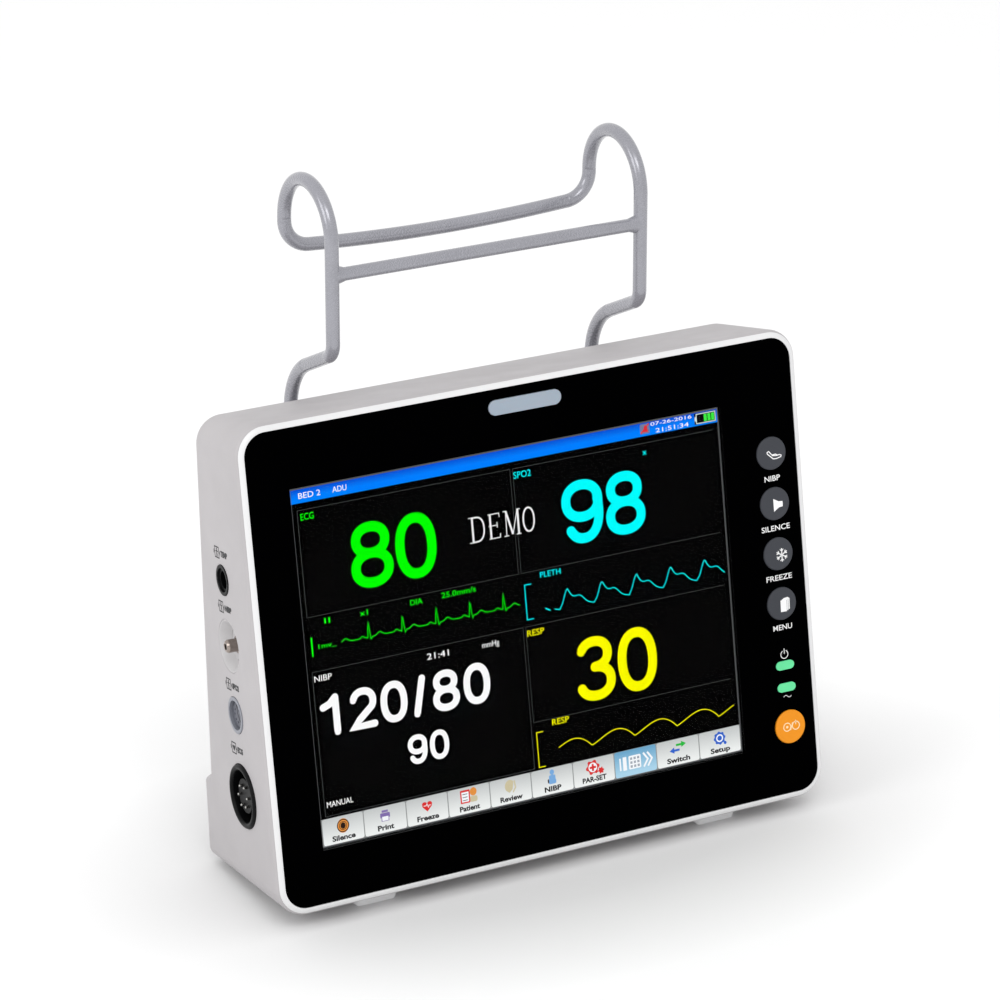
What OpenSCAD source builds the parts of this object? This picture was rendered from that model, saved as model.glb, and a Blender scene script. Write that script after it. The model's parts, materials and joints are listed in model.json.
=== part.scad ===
// Bedside patient monitor: leaning front with screen and keys, moulded rear shell,
// sensor sockets on the left side and a folding wire hook for a bed rail.
// Origin: centre of the footprint of the four feet, on the table. +X right, -Y front, +Z up.

/* [Front face] */
// How far the front leans back from upright, degrees
lean_back = 9.8; // [5:0.1:15]
// Width of the front frame
bezel_w = 222.6; // [200:0.1:250]
// Height of the front frame, along the leaning face
bezel_h = 174.6; // [150:0.1:200]
// Outer corner radius of the front frame
corner_r = 11; // [6:0.5:16]
// Rounding of the frame's front edge, and the width of its rim
lip_r = 2.7; // [2:0.1:5]
// Distance of the face centre in front of the origin
face_front = 20; // [10:1:40]
// Height of the face centre above the table
face_z = 92.3; // [80:0.1:110]
// Thickness of the black front panel
panel_t = 2; // [1:0.1:4]

/* [Screen] */
// Width of the lit screen area
screen_w = 170.4; // [150:0.1:200]
// Height of the lit screen area
screen_h = 127.8; // [110:0.1:150]
// Sideways offset of the screen centre
screen_x = -7.15; // [-20:0.05:20]
// Offset of the screen centre up the face
screen_up = -1.2; // [-10:0.1:10]

/* [Keys and lights] */
// Sideways position of the key column
key_x = 98; // [90:0.5:105]
// Diameter of the four grey keys
key_d = 12.1; // [8:0.1:15]
// Diameter of the orange power key
power_key_d = 12.5; // [8:0.1:16]
// Height of the top key's centre up the face
key_top = 42.7; // [30:0.1:60]
// Spacing of the four grey keys
key_pitch = 18.65; // [15:0.05:25]
// Height of the power key's centre up the face
power_key_up = -59.6; // [-70:0.1:-40]
// How far a key goes in
key_travel = 0.8; // [0.3:0.1:2]
// Height of the alarm light up the face
alarm_up = 78; // [70:0.5:82]
// Length of the alarm light
alarm_w = 28.8; // [20:0.1:60]
// Thickness of the alarm light
alarm_h = 5.4; // [3:0.1:8]

/* [Rear shell] */
// Wall thickness of the shell
wall = 2.4; // [1.5:0.1:4]
// Sideways taper of the shell per millimetre of depth
side_taper = 0.065; // [0:0.005:0.12]
// Rear face position behind the origin, at the height of the face centre
rear_y = 32.6; // [25:0.1:60]
// Lean of the rear face, degrees
rear_lean = 2.3; // [0:0.01:6]
// Height of the shell's top at the rear
rear_top = 170.3; // [150:0.1:190]
// Height of the shell's underside at the rear
rear_bottom = 2.4; // [1:0.1:6]
// Outline corner radius at the top of the rear
rear_corner_r = 9.7; // [6:0.1:16]
// Outline corner radius at the foot of the rear
rear_low_r = 4; // [3:0.1:10]
// Edge rounding all round the rear face
rear_edge_r = 6; // [3:0.5:9]
// How far the lower bay stands out behind the rear face
bay_out = 4.1; // [2:0.1:10]
// Edge rounding all round the bay
bay_edge_r = 2; // [1:0.1:4]
// Height of the lower bay's top edge
bay_top = 33.4; // [30:0.1:60]
// How much higher the bay's top is where it meets the rear face
bay_rise = 2.9; // [0:0.1:6]

/* [Sockets] */
// Distance of the socket row behind the front face
port_depth = 25.2; // [15:0.1:35]
// Position of the temperature socket up the face
temp_up = 30.1; // [20:0.1:40]
// Position of the cuff connector up the face
cuff_up = 6.5; // [0:0.1:15]
// Position of the oximeter socket up the face
oxi_up = -18.4; // [-25:0.1:-10]
// Position of the heart-lead socket up the face
lead_up = -47.8; // [-55:0.1:-40]

/* [Hook] */
// Wire diameter of the hook
wire_d = 5; // [3:0.1:8]
// Half the distance between the two legs
leg_x = 61.3; // [40:0.1:80]
// Height of the hinge axis
hinge_z = 126.7; // [100:0.1:140]
// Distance of the hinge axis behind the origin
hinge_y = 54; // [48:0.5:65]
// Distance of the upright part of the legs behind the origin
upright_y = 19.5; // [10:0.5:40]
// Height of the centre of the rail loop
loop_z = 228.4; // [200:0.1:250]
// Radius of the rail loop, to the middle of the wire
loop_r = 18.5; // [12:0.5:30]
// Height of the end bar at its middle
bar_z = 215.3; // [200:0.1:240]
// Radius of the end bar's gentle sag
bow_r = 720; // [300:10:2000]

/* [Hidden] */
$fn = 72;
hull_fn = 48;
face_y = -face_front;
half_w = bezel_w / 2;
half_h = bezel_h / 2;
panel_w = bezel_w - 2 * lip_r;
panel_h = bezel_h - 2 * lip_r;
side_angle = atan(side_taper);
seam_angle = 50;
board_z = -9.6;
key_ups = [for (i = [0:3]) key_top - i * key_pitch];
light_ups = [-36.4, -44.7];
foot_x = 69.6;
foot_y = 19.5;
foot_w = 17.8;
foot_l = 12;
front_foot_top = 6.3;
rear_foot_top = 3.9;
seam = 0.09 - lip_r * (1 - cos(seam_angle));
screw_x = 99;
screw_up = 76;
plate_y = 38.6;
plate_z = 86.3;
plate_size = 85;
plate_pitch = 75;
lug_x = 44.5;
jog_z = 157.2;
knee_r = 6;
end_r = 7.5;
bar_r = 10;
cross_z = 217.7;
door_x = -52;
door_w = 84;
door_h = 22.4;
battery_y = 7.4;
battery_l = 39.8;
inlet_x = 72;
net_x = 36;
stud_x = 98;
low_up = -72.3;
tube_y = 5;
tube_z = 94.6;
valve_z = 45.7;
hinge_out = (hinge_y - rear_y) * cos(rear_lean) - (hinge_z - face_z) * sin(rear_lean);
hinge_up = (hinge_y - rear_y) * sin(rear_lean) + (hinge_z - face_z) * cos(rear_lean);

// Depth of a point behind the leaning front face
function depth(y, z) = (y - face_y) * cos(lean_back) - (z - face_z) * sin(lean_back);
// Half width of the shell at a point
function side_at(y, z) = half_w - side_taper * (depth(y, z) - lip_r);
// Rear face position at a height
function rear_at(z) = rear_y + tan(rear_lean) * (z - face_z);

// Front face: X right, Y up the face, Z out towards the viewer, zero on the panel
module face_frame() {
  translate([0, face_y, face_z])
    rotate([90 - lean_back, 0, 0])
      children();
}

// Left side at the socket row: X to the front, Y up, Z outwards, zero on the shell
module side_frame(up) {
  face_frame()
    translate([-(half_w - side_taper * (port_depth - lip_r)), up, -port_depth])
      rotate([0, -(90 + side_angle), 0])
        children();
}

// Rear face: Y outwards, zero on the shell, Z up the leaning rear
module rear_frame() {
  translate([0, rear_y, face_z])
    rotate([-rear_lean, 0, 0])
      children();
}

module rounded_rect(w, h, r) {
  square([w - 2 * r, h], center = true);
  square([w, h - 2 * r], center = true);
  for (sx = [-1, 1])
    for (sy = [-1, 1])
      translate([sx * (w / 2 - r), sy * (h / 2 - r)])
        circle(r);
}

module pill(w, h) {
  square([w - h, h], center = true);
  for (s = [-1, 1])
    translate([s * (w - h) / 2, 0])
      circle(h / 2);
}

// A flat slab from z = low to z = high
module slab(low, high) {
  translate([0, 0, low])
    linear_extrude(high - low)
      children();
}

// Sweeps a profile round a rounded rectangle; profile X is measured from the corner centre
module rim_sweep(hw, hh, r) {
  for (sx = [0, 1])
    mirror([sx, 0, 0])
      for (sy = [0, 1])
        mirror([0, sy, 0])
          translate([hw - r, hh - r, 0])
            rotate_extrude(angle = 90)
              children();
  for (s = [0, 1])
    mirror([s, 0, 0])
      translate([hw - r, 0, 0])
        rotate([90, 0, 0])
          linear_extrude(2 * (hh - r), center = true)
            children();
  for (s = [0, 1])
    mirror([0, s, 0])
      translate([0, hh - r, 0])
        rotate([90, 0, 90])
          linear_extrude(2 * (hw - r), center = true)
            children();
}

// Round bar between two points of the side view, at x
module side_rod(x, a, b, r = wire_d / 2) {
  d = b - a;
  translate([x, a[0], a[1]])
    rotate([-atan2(d[0], d[1]), 0, 0])
      cylinder(h = norm(d), r = r);
}

// Bent bar in the side view: centre, radius, start angle and turn, from +Y towards +Z
module side_bend(x, c, r, start, turn) {
  translate([x, c[0], c[1]])
    rotate([0, 90, 0])
      rotate([0, 0, 90])
        rotate([0, 0, start])
          rotate_extrude(angle = turn)
            translate([r, 0])
              circle(wire_d / 2);
}

module bezel_profile() {
  edge = corner_r - lip_r;
  intersection() {
    translate([edge, -lip_r])
      circle(lip_r);
    translate([edge, seam])
      square([lip_r + 1, 3]);
  }
  translate([edge, -3.5])
    square([0.5, 3.5 + seam + 0.2]);
  translate([edge - 3.3, -3.5])
    square([3.8, 1.45]);
  translate([edge - 1.2, -5.4])
    square([0.6, 2]);
}

module front_bezel() {
  color([0.93, 0.93, 0.94])
    face_frame() {
      rim_sweep(half_w, half_h, corner_r)
        bezel_profile();
      for (s = [-1, 1])
        translate([s * screw_x, screw_up, 0])
          difference() {
            union() {
              slab(-13.5, -2.05)
                circle(3.6);
              translate([s * 5, 0, 0])
                slab(-3.4, -2.05)
                  square([5, 6], center = true);
            }
            slab(-14, -4.5)
              circle(1.25);
          }
    }
}

module panel_openings() {
  translate([screen_x, screen_up])
    square([screen_w + 1, screen_h + 1], center = true);
  for (up = key_ups)
    translate([key_x, up])
      circle(key_d / 2 + 0.25);
  translate([key_x, power_key_up])
    circle(power_key_d / 2 + 0.25);
  for (up = light_ups)
    translate([key_x - 0.3, up])
      pill(7.8, 3.5);
  translate([0, alarm_up])
    pill(alarm_w + 0.3, alarm_h + 0.3);
}

module front_panel() {
  color([0.02, 0.02, 0.025])
    face_frame()
      slab(-panel_t, 0)
        difference() {
          rounded_rect(panel_w - 0.4, panel_h - 0.4, corner_r - lip_r - 0.2);
          panel_openings();
        }
}

module display_window() {
  color([0.75, 0.82, 0.85, 0.3])
    face_frame()
      translate([screen_x, screen_up, 0])
        slab(-1.5, -0.1)
          square([screen_w + 0.8, screen_h + 0.8], center = true);
}

module lcd_face() {
  color([0.05, 0.09, 0.16])
    face_frame()
      translate([screen_x, screen_up, 0])
        slab(-3.4, -1.7)
          square([screen_w, screen_h], center = true);
}

module lcd_frame() {
  color([0.72, 0.73, 0.75])
    face_frame()
      translate([screen_x, screen_up, 0])
        difference() {
          union() {
            slab(-10.4, -3.5)
              rounded_rect(190, 141, 1.5);
            slab(-3.6, -2.1)
              square([screen_w + 5, screen_h + 5], center = true);
          }
          slab(-3.5, -1)
            square([screen_w + 0.2, screen_h + 0.2], center = true);
        }
}

module alarm_lens() {
  color([0.75, 0.8, 0.86, 0.75])
    face_frame()
      translate([0, alarm_up, 0]) {
        slab(-2.3, 0.3)
          pill(alarm_w, alarm_h);
        slab(-3.3, -2.3)
          pill(alarm_w + 3, alarm_h + 1.2);
      }
}

module alarm_board() {
  color([0.1, 0.4, 0.22])
    face_frame()
      translate([0, alarm_up, 0]) {
        slab(-8.2, -6.8)
          square([38, 7], center = true);
        for (i = [-2:2])
          translate([i * 6, 0, 0])
            slab(-6.8, -5.6)
              square([3, 2.6], center = true);
      }
}

module status_lights() {
  color([0.35, 0.9, 0.6])
    face_frame()
      for (up = light_ups)
        translate([key_x - 0.3, up, 0]) {
          slab(-2.2, 0.15)
            pill(7.5, 3.2);
          slab(-6.2, -2.2)
            pill(8.6, 4.3);
        }
}

module key_cap(up, d) {
  face_frame()
    translate([key_x, up, 0]) {
      translate([0, 0, 0.2])
        cylinder(h = 0.3, r1 = d / 2, r2 = d / 2 - 0.35);
      slab(-2.4, 0.2)
        circle(d / 2);
      slab(-3.3, -2.4)
        circle(d / 2 + 1);
      slab(-4.1, -3.3)
        circle(2);
    }
}

module key_cuff() {
  color([0.3, 0.31, 0.34])
    key_cap(key_ups[0], key_d);
}

module key_silence() {
  color([0.3, 0.31, 0.34])
    key_cap(key_ups[1], key_d);
}

module key_freeze() {
  color([0.3, 0.31, 0.34])
    key_cap(key_ups[2], key_d);
}

module key_menu() {
  color([0.3, 0.31, 0.34])
    key_cap(key_ups[3], key_d);
}

module key_power() {
  color([0.96, 0.62, 0.1])
    key_cap(power_key_up, power_key_d);
}

module keypad_board() {
  color([0.1, 0.4, 0.22])
    face_frame()
      translate([key_x, 0, 0]) {
        translate([0, -8, 0])
          slab(board_z, board_z + 1.6)
            square([15.4, 122], center = true);
        for (up = concat(key_ups, [power_key_up]))
          translate([0, up, 0]) {
            slab(-8, -5.6)
              square([6, 6], center = true);
            slab(-5.6, -5)
              circle(1.7);
          }
        for (up = light_ups)
          translate([-0.3, up, 0])
            slab(-8, -6.9)
              square([3, 1.6], center = true);
      }
}

module chassis_plate() {
  color([0.7, 0.71, 0.73])
    face_frame()
      difference() {
        union() {
          translate([screen_x, 4, 0])
            slab(-15.2, -14)
              rounded_rect(164, 116, 3);
          for (sx = [-1, 1])
            for (sy = [-1, 1])
              translate([screen_x + sx * 76, 4 + sy * 50, 0])
                slab(-14, -10.4)
                  circle(3);
        }
        for (x = [-60, 30])
          translate([x, 6, 0])
            slab(-16, -13)
              rounded_rect(30, 60, 4);
      }
}

module main_board() {
  color([0.08, 0.36, 0.2])
    face_frame()
      translate([-6, 8, 0])
        difference() {
          union() {
            slab(-20.8, -19.2)
              square([126, 96], center = true);
            for (sx = [-1, 1])
              for (sy = [-1, 1])
                translate([sx * 58, sy * 43, 0])
                  slab(-19.2, -15.2)
                    circle(2.6);
          }
          for (sx = [-1, 1])
            for (sy = [-1, 1])
              translate([sx * 58, sy * 43, 0])
                slab(-22, -16)
                  circle(1.4);
        }
}

module board_chips() {
  color([0.12, 0.12, 0.13])
    face_frame()
      translate([-6, 8, -20.8]) {
        for (i = [0:9])
          translate([-22.5 + i * 5, 12, 0])
            slab(-7, -1.5)
              square([2, 44], center = true);
        translate([0, 12, 0])
          slab(-1.5, 0)
            square([48, 44], center = true);
        for (i = [0:3])
          translate([42, 30 - i * 14, 0])
            slab(-1.6, 0)
              square([16, 9], center = true);
        for (i = [0:4])
          translate([-46 + i * 11, -36, 0])
            slab(-8.5, 0)
              circle(3.6);
        for (x = [14, 40])
          translate([x, -38, 0])
            slab(-6, 0)
              square([20, 7], center = true);
      }
}

module sensor_board() {
  color([0.1, 0.32, 0.42])
    face_frame()
      translate([-80.8, 7, -26]) {
        cube([1.6, 74, 20], center = true);
        for (up = [-26, -8, 10, 28])
          translate([2.1, up, 0])
            cube([2.6, 9, 12], center = true);
      }
}

module power_supply() {
  color([0.62, 0.5, 0.2])
    rear_frame()
      translate([66, -wall - 5.6, -20]) {
        translate([0, 0.8, 0])
          cube([58, 1.6, 56], center = true);
        for (sx = [-1, 1])
          for (sz = [-1, 1])
            translate([sx * 26, 1.6, sz * 24])
              rotate([-90, 0, 0])
                cylinder(h = 3.95, r = 2.5);
      }
}

module power_transformer() {
  color([0.85, 0.75, 0.25])
    rear_frame()
      translate([66, -wall - 5.6, -20]) {
        translate([-12, -7.4, 13])
          cube([26, 14.6, 24], center = true);
        translate([-12, -5.6, -14])
          cube([28, 11, 16], center = true);
        for (i = [-1:1])
          translate([16, -0.1, i * 17])
            rotate([90, 0, 0])
              cylinder(h = 14, r = 6);
      }
}

module battery_pack() {
  color([0.2, 0.28, 0.42])
    translate([door_x, battery_y, 23])
      rotate([90, 0, 0])
        linear_extrude(battery_l, center = true)
          rounded_rect(76, 18.4, 3);
}

module battery_tray() {
  color([0.72, 0.73, 0.75])
    translate([door_x, battery_y, 0]) {
      translate([0, 0, 13])
        cube([80, battery_l, 1.2], center = true);
      for (s = [-1, 1])
        translate([s * 39.5, 0, 19.7])
          cube([1, battery_l, 13.6], center = true);
      for (s = [-1, 1])
        translate([s * 30, -4, 9.8])
          cube([6, 24, 5.4], center = true);
    }
}

// Opening of the battery bay, and the door that closes it, both on the bay's rear
module bay_frame(x) {
  rear_frame()
    translate([x, bay_out, low_up])
      rotate([-90, 0, 0])
        children();
}

module battery_door() {
  color([0.72, 0.71, 0.72])
    bay_frame(door_x)
      difference() {
        union() {
          slab(-2, 0)
            rounded_rect(door_w, door_h, 2.5);
          for (s = [-1, 1])
            translate([s * 30, door_h / 2 - 2.6, -4])
              rotate([0, 90, 0])
                cylinder(h = 9, r = 2, center = true);
          for (s = [-1, 1])
            translate([s * 30, door_h / 2 - 2.6, -3])
              cube([9, 4, 2.4], center = true);
          translate([0, -door_h / 2 + 1.6, -2.8])
            cube([14, 2, 2.4], center = true);
        }
        translate([0, -door_h / 2 + 5, 0])
          for (i = [0:2])
            translate([0, i * 2.4, -0.7])
              slab(0, 2)
                pill(22, 1.2);
      }
}

module cuff_pump() {
  color([0.55, 0.56, 0.6]) {
    translate([14, -1.5, 23.7])
      rotate([0, 90, 0]) {
        cylinder(h = 34, r = 12);
        translate([0, 0, 34])
          cylinder(h = 22, r = 12.8);
        translate([-6, 0, 56])
          cylinder(h = 5, r = 2.2);
      }
    translate([31, -1.5, 10.5])
      cube([26, 14, 6.4], center = true);
  }
}

module cuff_valve() {
  color([0.3, 0.3, 0.33])
    translate([-58, tube_y, valve_z])
      rotate([0, 90, 0]) {
        cylinder(h = 20, r = 7);
        translate([0, 0, -4])
          cylinder(h = 4, r = 2.2);
      }
}

module air_tube() {
  color([0.85, 0.87, 0.9]) {
    translate([-95.5, tube_y, tube_z])
      rotate([0, 90, 0])
        cylinder(h = 1.7, r = 2.6);
    translate([-93.8, tube_y, tube_z - 6])
      rotate([90, 0, 0])
        rotate_extrude(angle = 90)
          translate([6, 0])
            circle(2.6);
    translate([-87.8, tube_y, valve_z + 6])
      cylinder(h = tube_z - valve_z - 12, r = 2.6);
    translate([-81.8, tube_y, valve_z + 6])
      rotate([90, 0, 0])
        rotate([0, 0, 180])
          rotate_extrude(angle = 90)
            translate([6, 0])
              circle(2.6);
    translate([-81.8, tube_y, valve_z])
      rotate([0, 90, 0])
        cylinder(h = 19.7, r = 2.6);
  }
}

module speaker() {
  color([0.16, 0.16, 0.18])
    rear_frame()
      translate([-82, -wall - 0.6, -16])
        rotate([90, 0, 0]) {
          difference() {
            cylinder(h = 5, r = 18);
            translate([0, 0, -1])
              cylinder(h = 4, r1 = 16.5, r2 = 9);
          }
          translate([0, 0, 5])
            cylinder(h = 6, r = 9);
        }
}

// Round stations that the shell's skin is stretched over
module front_stations(up_low, inset, ahead) {
  for (a = [seam_angle, 63, 76, 90])
    for (sx = [-1, 1])
      for (up = [up_low, half_h - corner_r])
        face_frame()
          translate([sx * (half_w - corner_r), up, -lip_r * (1 - cos(a)) + ahead])
            cylinder(h = 0.01, r = corner_r - lip_r * (1 - sin(a)) - inset, $fn = hull_fn);
}

// A rounded corner of the rear outline: its outermost height, up = 1 at the top or -1 at the foot
module rear_station(z, up, r, edge, inset, out = 0, tuck = 0) {
  corner = max(r - inset, 0.9);
  roll = min(max(edge - inset, 0.5), corner);
  mid_z = z - up * (inset + corner);
  mid_y = rear_at(mid_z) + out - inset - roll;
  for (sx = [-1, 1])
    translate([sx * (side_at(mid_y, mid_z) - inset - corner - tuck), mid_y, mid_z])
      rotate([90 - rear_lean, 0, 0])
        rotate_extrude($fn = hull_fn)
          translate([corner - roll, 0])
            intersection() {
              circle(roll, $fn = 32);
              translate([0, -10])
                square(20);
            }
}

module shell_body(inset, ahead) {
  tuck = 0.04;
  hull() {
    front_stations(-(half_h - corner_r), inset, ahead);
    rear_station(rear_top, 1, rear_corner_r, rear_edge_r, inset);
    rear_station(rear_bottom + 1.5, -1, rear_low_r, 3, inset);
  }
  hull() {
    for (up = [-(half_h - corner_r), -50])
      for (sx = [-1, 1])
        face_frame()
          translate([sx * (half_w - corner_r - tuck), up, -lip_r])
            cylinder(h = 0.01, r = corner_r - inset, $fn = hull_fn);
    rear_station(rear_bottom, -1, rear_low_r, bay_edge_r, inset, bay_out, tuck);
    rear_station(bay_top, 1, bay_edge_r, 1.2, inset, bay_out, tuck);
    rear_station(bay_top + bay_rise, 1, bay_edge_r, 1.2, inset, -0.2, tuck);
  }
}

module side_openings() {
  side_frame(temp_up)
    slab(-6, 4)
      circle(5.6);
  side_frame(cuff_up)
    slab(-6, 4)
      circle(9.6);
  side_frame(oxi_up)
    slab(-6, 4)
      circle(6.7);
  side_frame(lead_up)
    slab(-6, 4)
      circle(11.8);
}

module rear_openings() {
  bay_frame(door_x) {
    slab(-2.1, 3)
      rounded_rect(door_w + 0.6, door_h + 0.6, 2.8);
    slab(-8, 3)
      square([door_w - 6, door_h - 6], center = true);
    for (s = [-1, 1])
      translate([s * 30, door_h / 2 - 3.1, -4])
        cube([11, 9, 6], center = true);
    translate([0, -door_h / 2 + 1.4, -3])
      cube([16, 3.4, 4], center = true);
  }
  bay_frame(inlet_x)
    slab(-8, 3)
      rounded_rect(27.4, 20.2, 2);
  bay_frame(net_x)
    slab(-8, 3)
      square([16.4, 13.8], center = true);
  bay_frame(stud_x)
    slab(-8, 3)
      circle(3.2);
  rear_frame()
    translate([-82, 0, -16])
      rotate([-90, 0, 0])
        for (i = [-3:3])
          translate([0, i * 4.2, 0])
            slab(-6, 3)
              pill(2 * sqrt(15 * 15 - i * i * 16), 1.8);
  rear_frame()
    translate([80, 0, 0])
      rotate([-90, 0, 0])
        for (i = [-4:4])
          translate([i * 4.4, 16, 0])
            rotate([0, 0, 90])
              slab(-6, 3)
                pill(30, 1.8);
}

module foot_pockets() {
  for (sx = [-1, 1]) {
    translate([sx * foot_x, -foot_y, 0])
      slab(-1, front_foot_top + 0.1)
        rounded_rect(foot_w + 0.2, foot_l + 0.2, 3.1);
    translate([sx * foot_x, foot_y, 0])
      slab(-1, rear_foot_top + 0.1)
        rounded_rect(foot_w + 0.2, foot_l + 0.2, 3.1);
  }
}

module rear_housing() {
  color([0.78, 0.77, 0.78])
    difference() {
      union() {
        difference() {
          shell_body(0, 0);
          shell_body(wall, 2);
        }
        face_frame()
          for (s = [-1, 1])
            translate([s * screw_x, screw_up, 0])
              slab(-41.5, -13.7)
                circle(4);
      }
      face_frame()
        slab(-3.7, 3)
          rounded_rect(bezel_w - 4, bezel_h - 4, corner_r - 2);
      face_frame()
        for (s = [-1, 1])
          translate([s * screw_x, screw_up, 0]) {
            slab(-60, -17.5)
              circle(3.1);
            slab(-20, -12)
              circle(1.7);
          }
      side_openings();
      rear_openings();
      foot_pockets();
      for (s = [-1, 1])
        for (up = [-15.5, 17])
          rear_frame()
            translate([s * 50, 0, hinge_up + up])
              rotate([90, 0, 0])
                cylinder(h = 20, r = 1.7, center = true);
      for (sx = [-1, 1])
        for (sz = [-1, 1])
          translate([sx * 36, 30, plate_z + sz * 20])
            rotate([90, 0, 0])
              cylinder(h = 20, r = 1.7, center = true);
    }
}

module case_screws() {
  color([0.62, 0.63, 0.66])
    face_frame()
      for (s = [-1, 1])
        translate([s * screw_x, screw_up, 0])
          difference() {
            union() {
              slab(-19.7, -17.6)
                circle(2.8);
              slab(-17.6, -5)
                circle(1.2);
            }
            slab(-20, -18.8) {
              square([3.4, 0.8], center = true);
              square([0.8, 3.4], center = true);
            }
          }
}

module foot(sx, sy, top) {
  flare = 1.7;
  color([0.88, 0.88, 0.89])
    translate([sx * foot_x, sy * foot_y, 0])
      intersection() {
        slab(0, top)
          rounded_rect(foot_w, foot_l, 3);
        rotate([90, 0, 0])
          linear_extrude(foot_l + 2, center = true)
            polygon([[-foot_w / 2, top], [-foot_w / 2, 1.3], [-foot_w / 2 + flare, 0],
                     [foot_w / 2 - flare, 0], [foot_w / 2, 1.3], [foot_w / 2, top]]);
      }
}

module foot_front_left() {
  foot(-1, -1, front_foot_top);
}

module foot_front_right() {
  foot(1, -1, front_foot_top);
}

module foot_rear_left() {
  foot(-1, 1, rear_foot_top);
}

module foot_rear_right() {
  foot(1, 1, rear_foot_top);
}

module temp_socket() {
  color([0.1, 0.1, 0.11])
    side_frame(temp_up)
      difference() {
        union() {
          slab(-3, 0.3)
            circle(5.5);
          slab(-5.5, -3)
            circle(7.5);
          slab(-24, -5.5)
            circle(5);
        }
        slab(-22, 1)
          circle(3.2);
        slab(-0.5, 1)
          circle(4.3);
      }
}

module cuff_dish() {
  color([0.86, 0.86, 0.87])
    side_frame(cuff_up)
      rotate_extrude()
        polygon([[2.5, -5.3], [9.5, -5.3], [11.2, -5.3], [11.2, -3.1], [9.5, -3.1],
                 [9.5, 0], [9.1, 0], [6.6, -3.7], [2.5, -3.7]]);
}

module cuff_connector() {
  color([0.5, 0.47, 0.45])
    side_frame(cuff_up)
      difference() {
        union() {
          slab(-14, 0.6)
            circle(2.35);
          translate([0, 0, 0.6])
            cylinder(h = 0.8, r1 = 2.35, r2 = 1.7);
          slab(-3.7, -2.9)
            circle(3.1);
          slab(-8, -5.3)
            circle(4.6);
        }
        slab(-15, 2)
          circle(1.1);
      }
}

module oximeter_socket() {
  color([0.62, 0.63, 0.67])
    side_frame(oxi_up)
      difference() {
        union() {
          slab(-3, 0.3)
            circle(6.55);
          slab(-5.6, -3)
            circle(8.6);
          slab(-18, -5.6)
            circle(6.5);
        }
        slab(-10, 1)
          circle(5.3);
      }
}

module oximeter_core() {
  color([0.42, 0.43, 0.48])
    side_frame(oxi_up)
      difference() {
        slab(-10, -0.7)
          circle(4.4);
        for (a = [0:45:315])
          rotate([0, 0, a])
            translate([2.6, 0, 0])
              slab(-6, 0)
                circle(0.45);
        translate([0, 3.9, 0])
          slab(-8, 0)
            square([1.5, 2], center = true);
      }
}

module lead_socket() {
  color([0.09, 0.09, 0.1])
    side_frame(lead_up) {
      difference() {
        union() {
          slab(-3, 0)
            circle(11.6);
          rotate_extrude()
            translate([10.5, 0])
              circle(1.1);
          slab(-5.4, -3)
            circle(13.4);
          slab(-15, -5.4)
            circle(11);
        }
        slab(-12, 2)
          circle(9.4);
      }
      slab(-12, -0.6)
        circle(6.2);
    }
}

module lead_pins() {
  color([0.85, 0.84, 0.8])
    side_frame(lead_up)
      for (i = [0:5])
        rotate([0, 0, i * 60])
          translate([4, 0, 0]) {
            slab(-0.6, 0.4)
              circle(0.5);
            translate([0, 0, 0.4])
              cylinder(h = 0.3, r1 = 0.5, r2 = 0.25);
          }
}

module mains_inlet() {
  color([0.08, 0.08, 0.09])
    bay_frame(inlet_x)
      difference() {
        union() {
          slab(0, 1.8)
            rounded_rect(31, 24, 3);
          slab(-18, 0)
            rounded_rect(27, 19.8, 1.8);
        }
        slab(-13.5, 3)
          polygon([[-11.8, -7.8], [11.8, -7.8], [11.8, 4.6], [8.2, 7.8], [-8.2, 7.8],
                   [-11.8, 4.6]]);
      }
}

module inlet_blades() {
  color([0.8, 0.78, 0.7])
    bay_frame(inlet_x)
      for (p = [[-7, -1.5], [7, -1.5], [0, 2.8]])
        translate([p[0], p[1], 0])
          slab(-13.5, -3)
            square([2, 4], center = true);
}

module network_socket() {
  color([0.7, 0.71, 0.72])
    bay_frame(net_x)
      difference() {
        slab(-18, 0.3)
          square([16, 13.4], center = true);
        slab(-13, 1)
          union() {
            square([11.8, 7.2], center = true);
            translate([0, -4.4])
              square([6, 2.6], center = true);
          }
      }
}

module ground_stud() {
  color([0.78, 0.72, 0.42])
    bay_frame(stud_x) {
      slab(-6, 10)
        circle(3);
      slab(0, 1.5)
        circle(5.2);
    }
}

module mount_plate() {
  low = plate_z - plate_size / 2;
  high = plate_z + plate_size / 2;
  color([0.42, 0.43, 0.46])
    difference() {
      intersection() {
        translate([0, 0, plate_z])
          rotate([-90, 0, 0])
            slab(20, plate_y)
              rounded_rect(plate_size, plate_size, 6);
        translate([-60, 0, 0])
          rotate([90, 0, 90])
            linear_extrude(120)
              polygon([[rear_at(low) + 0.25, low], [60, low], [60, high], [rear_at(high) + 0.25, high]]);
      }
      translate([0, 0, plate_z])
        rotate([-90, 0, 0])
          for (sx = [-1, 1])
            for (sy = [-1, 1])
              translate([sx * plate_pitch / 2, sy * plate_pitch / 2, 0])
                slab(20, plate_y + 2)
                  circle(2.15);
      for (sx = [-1, 1])
        for (sz = [-1, 1])
          translate([sx * 36, plate_y, plate_z + sz * 20])
            rotate([90, 0, 0]) {
              cylinder(h = 30, r = 1.8, center = true);
              translate([0, 0, -2])
                cylinder(h = 4.5, r = 3.2);
            }
    }
}

module plate_screws() {
  color([0.62, 0.63, 0.66])
    for (sx = [-1, 1])
      for (sz = [-1, 1])
        translate([sx * 36, plate_y, plate_z + sz * 20])
          rotate([90, 0, 0]) {
            translate([0, 0, 0.4])
              cylinder(h = 2, r = 3);
            cylinder(h = 11, r = 1.5);
          }
}

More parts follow.
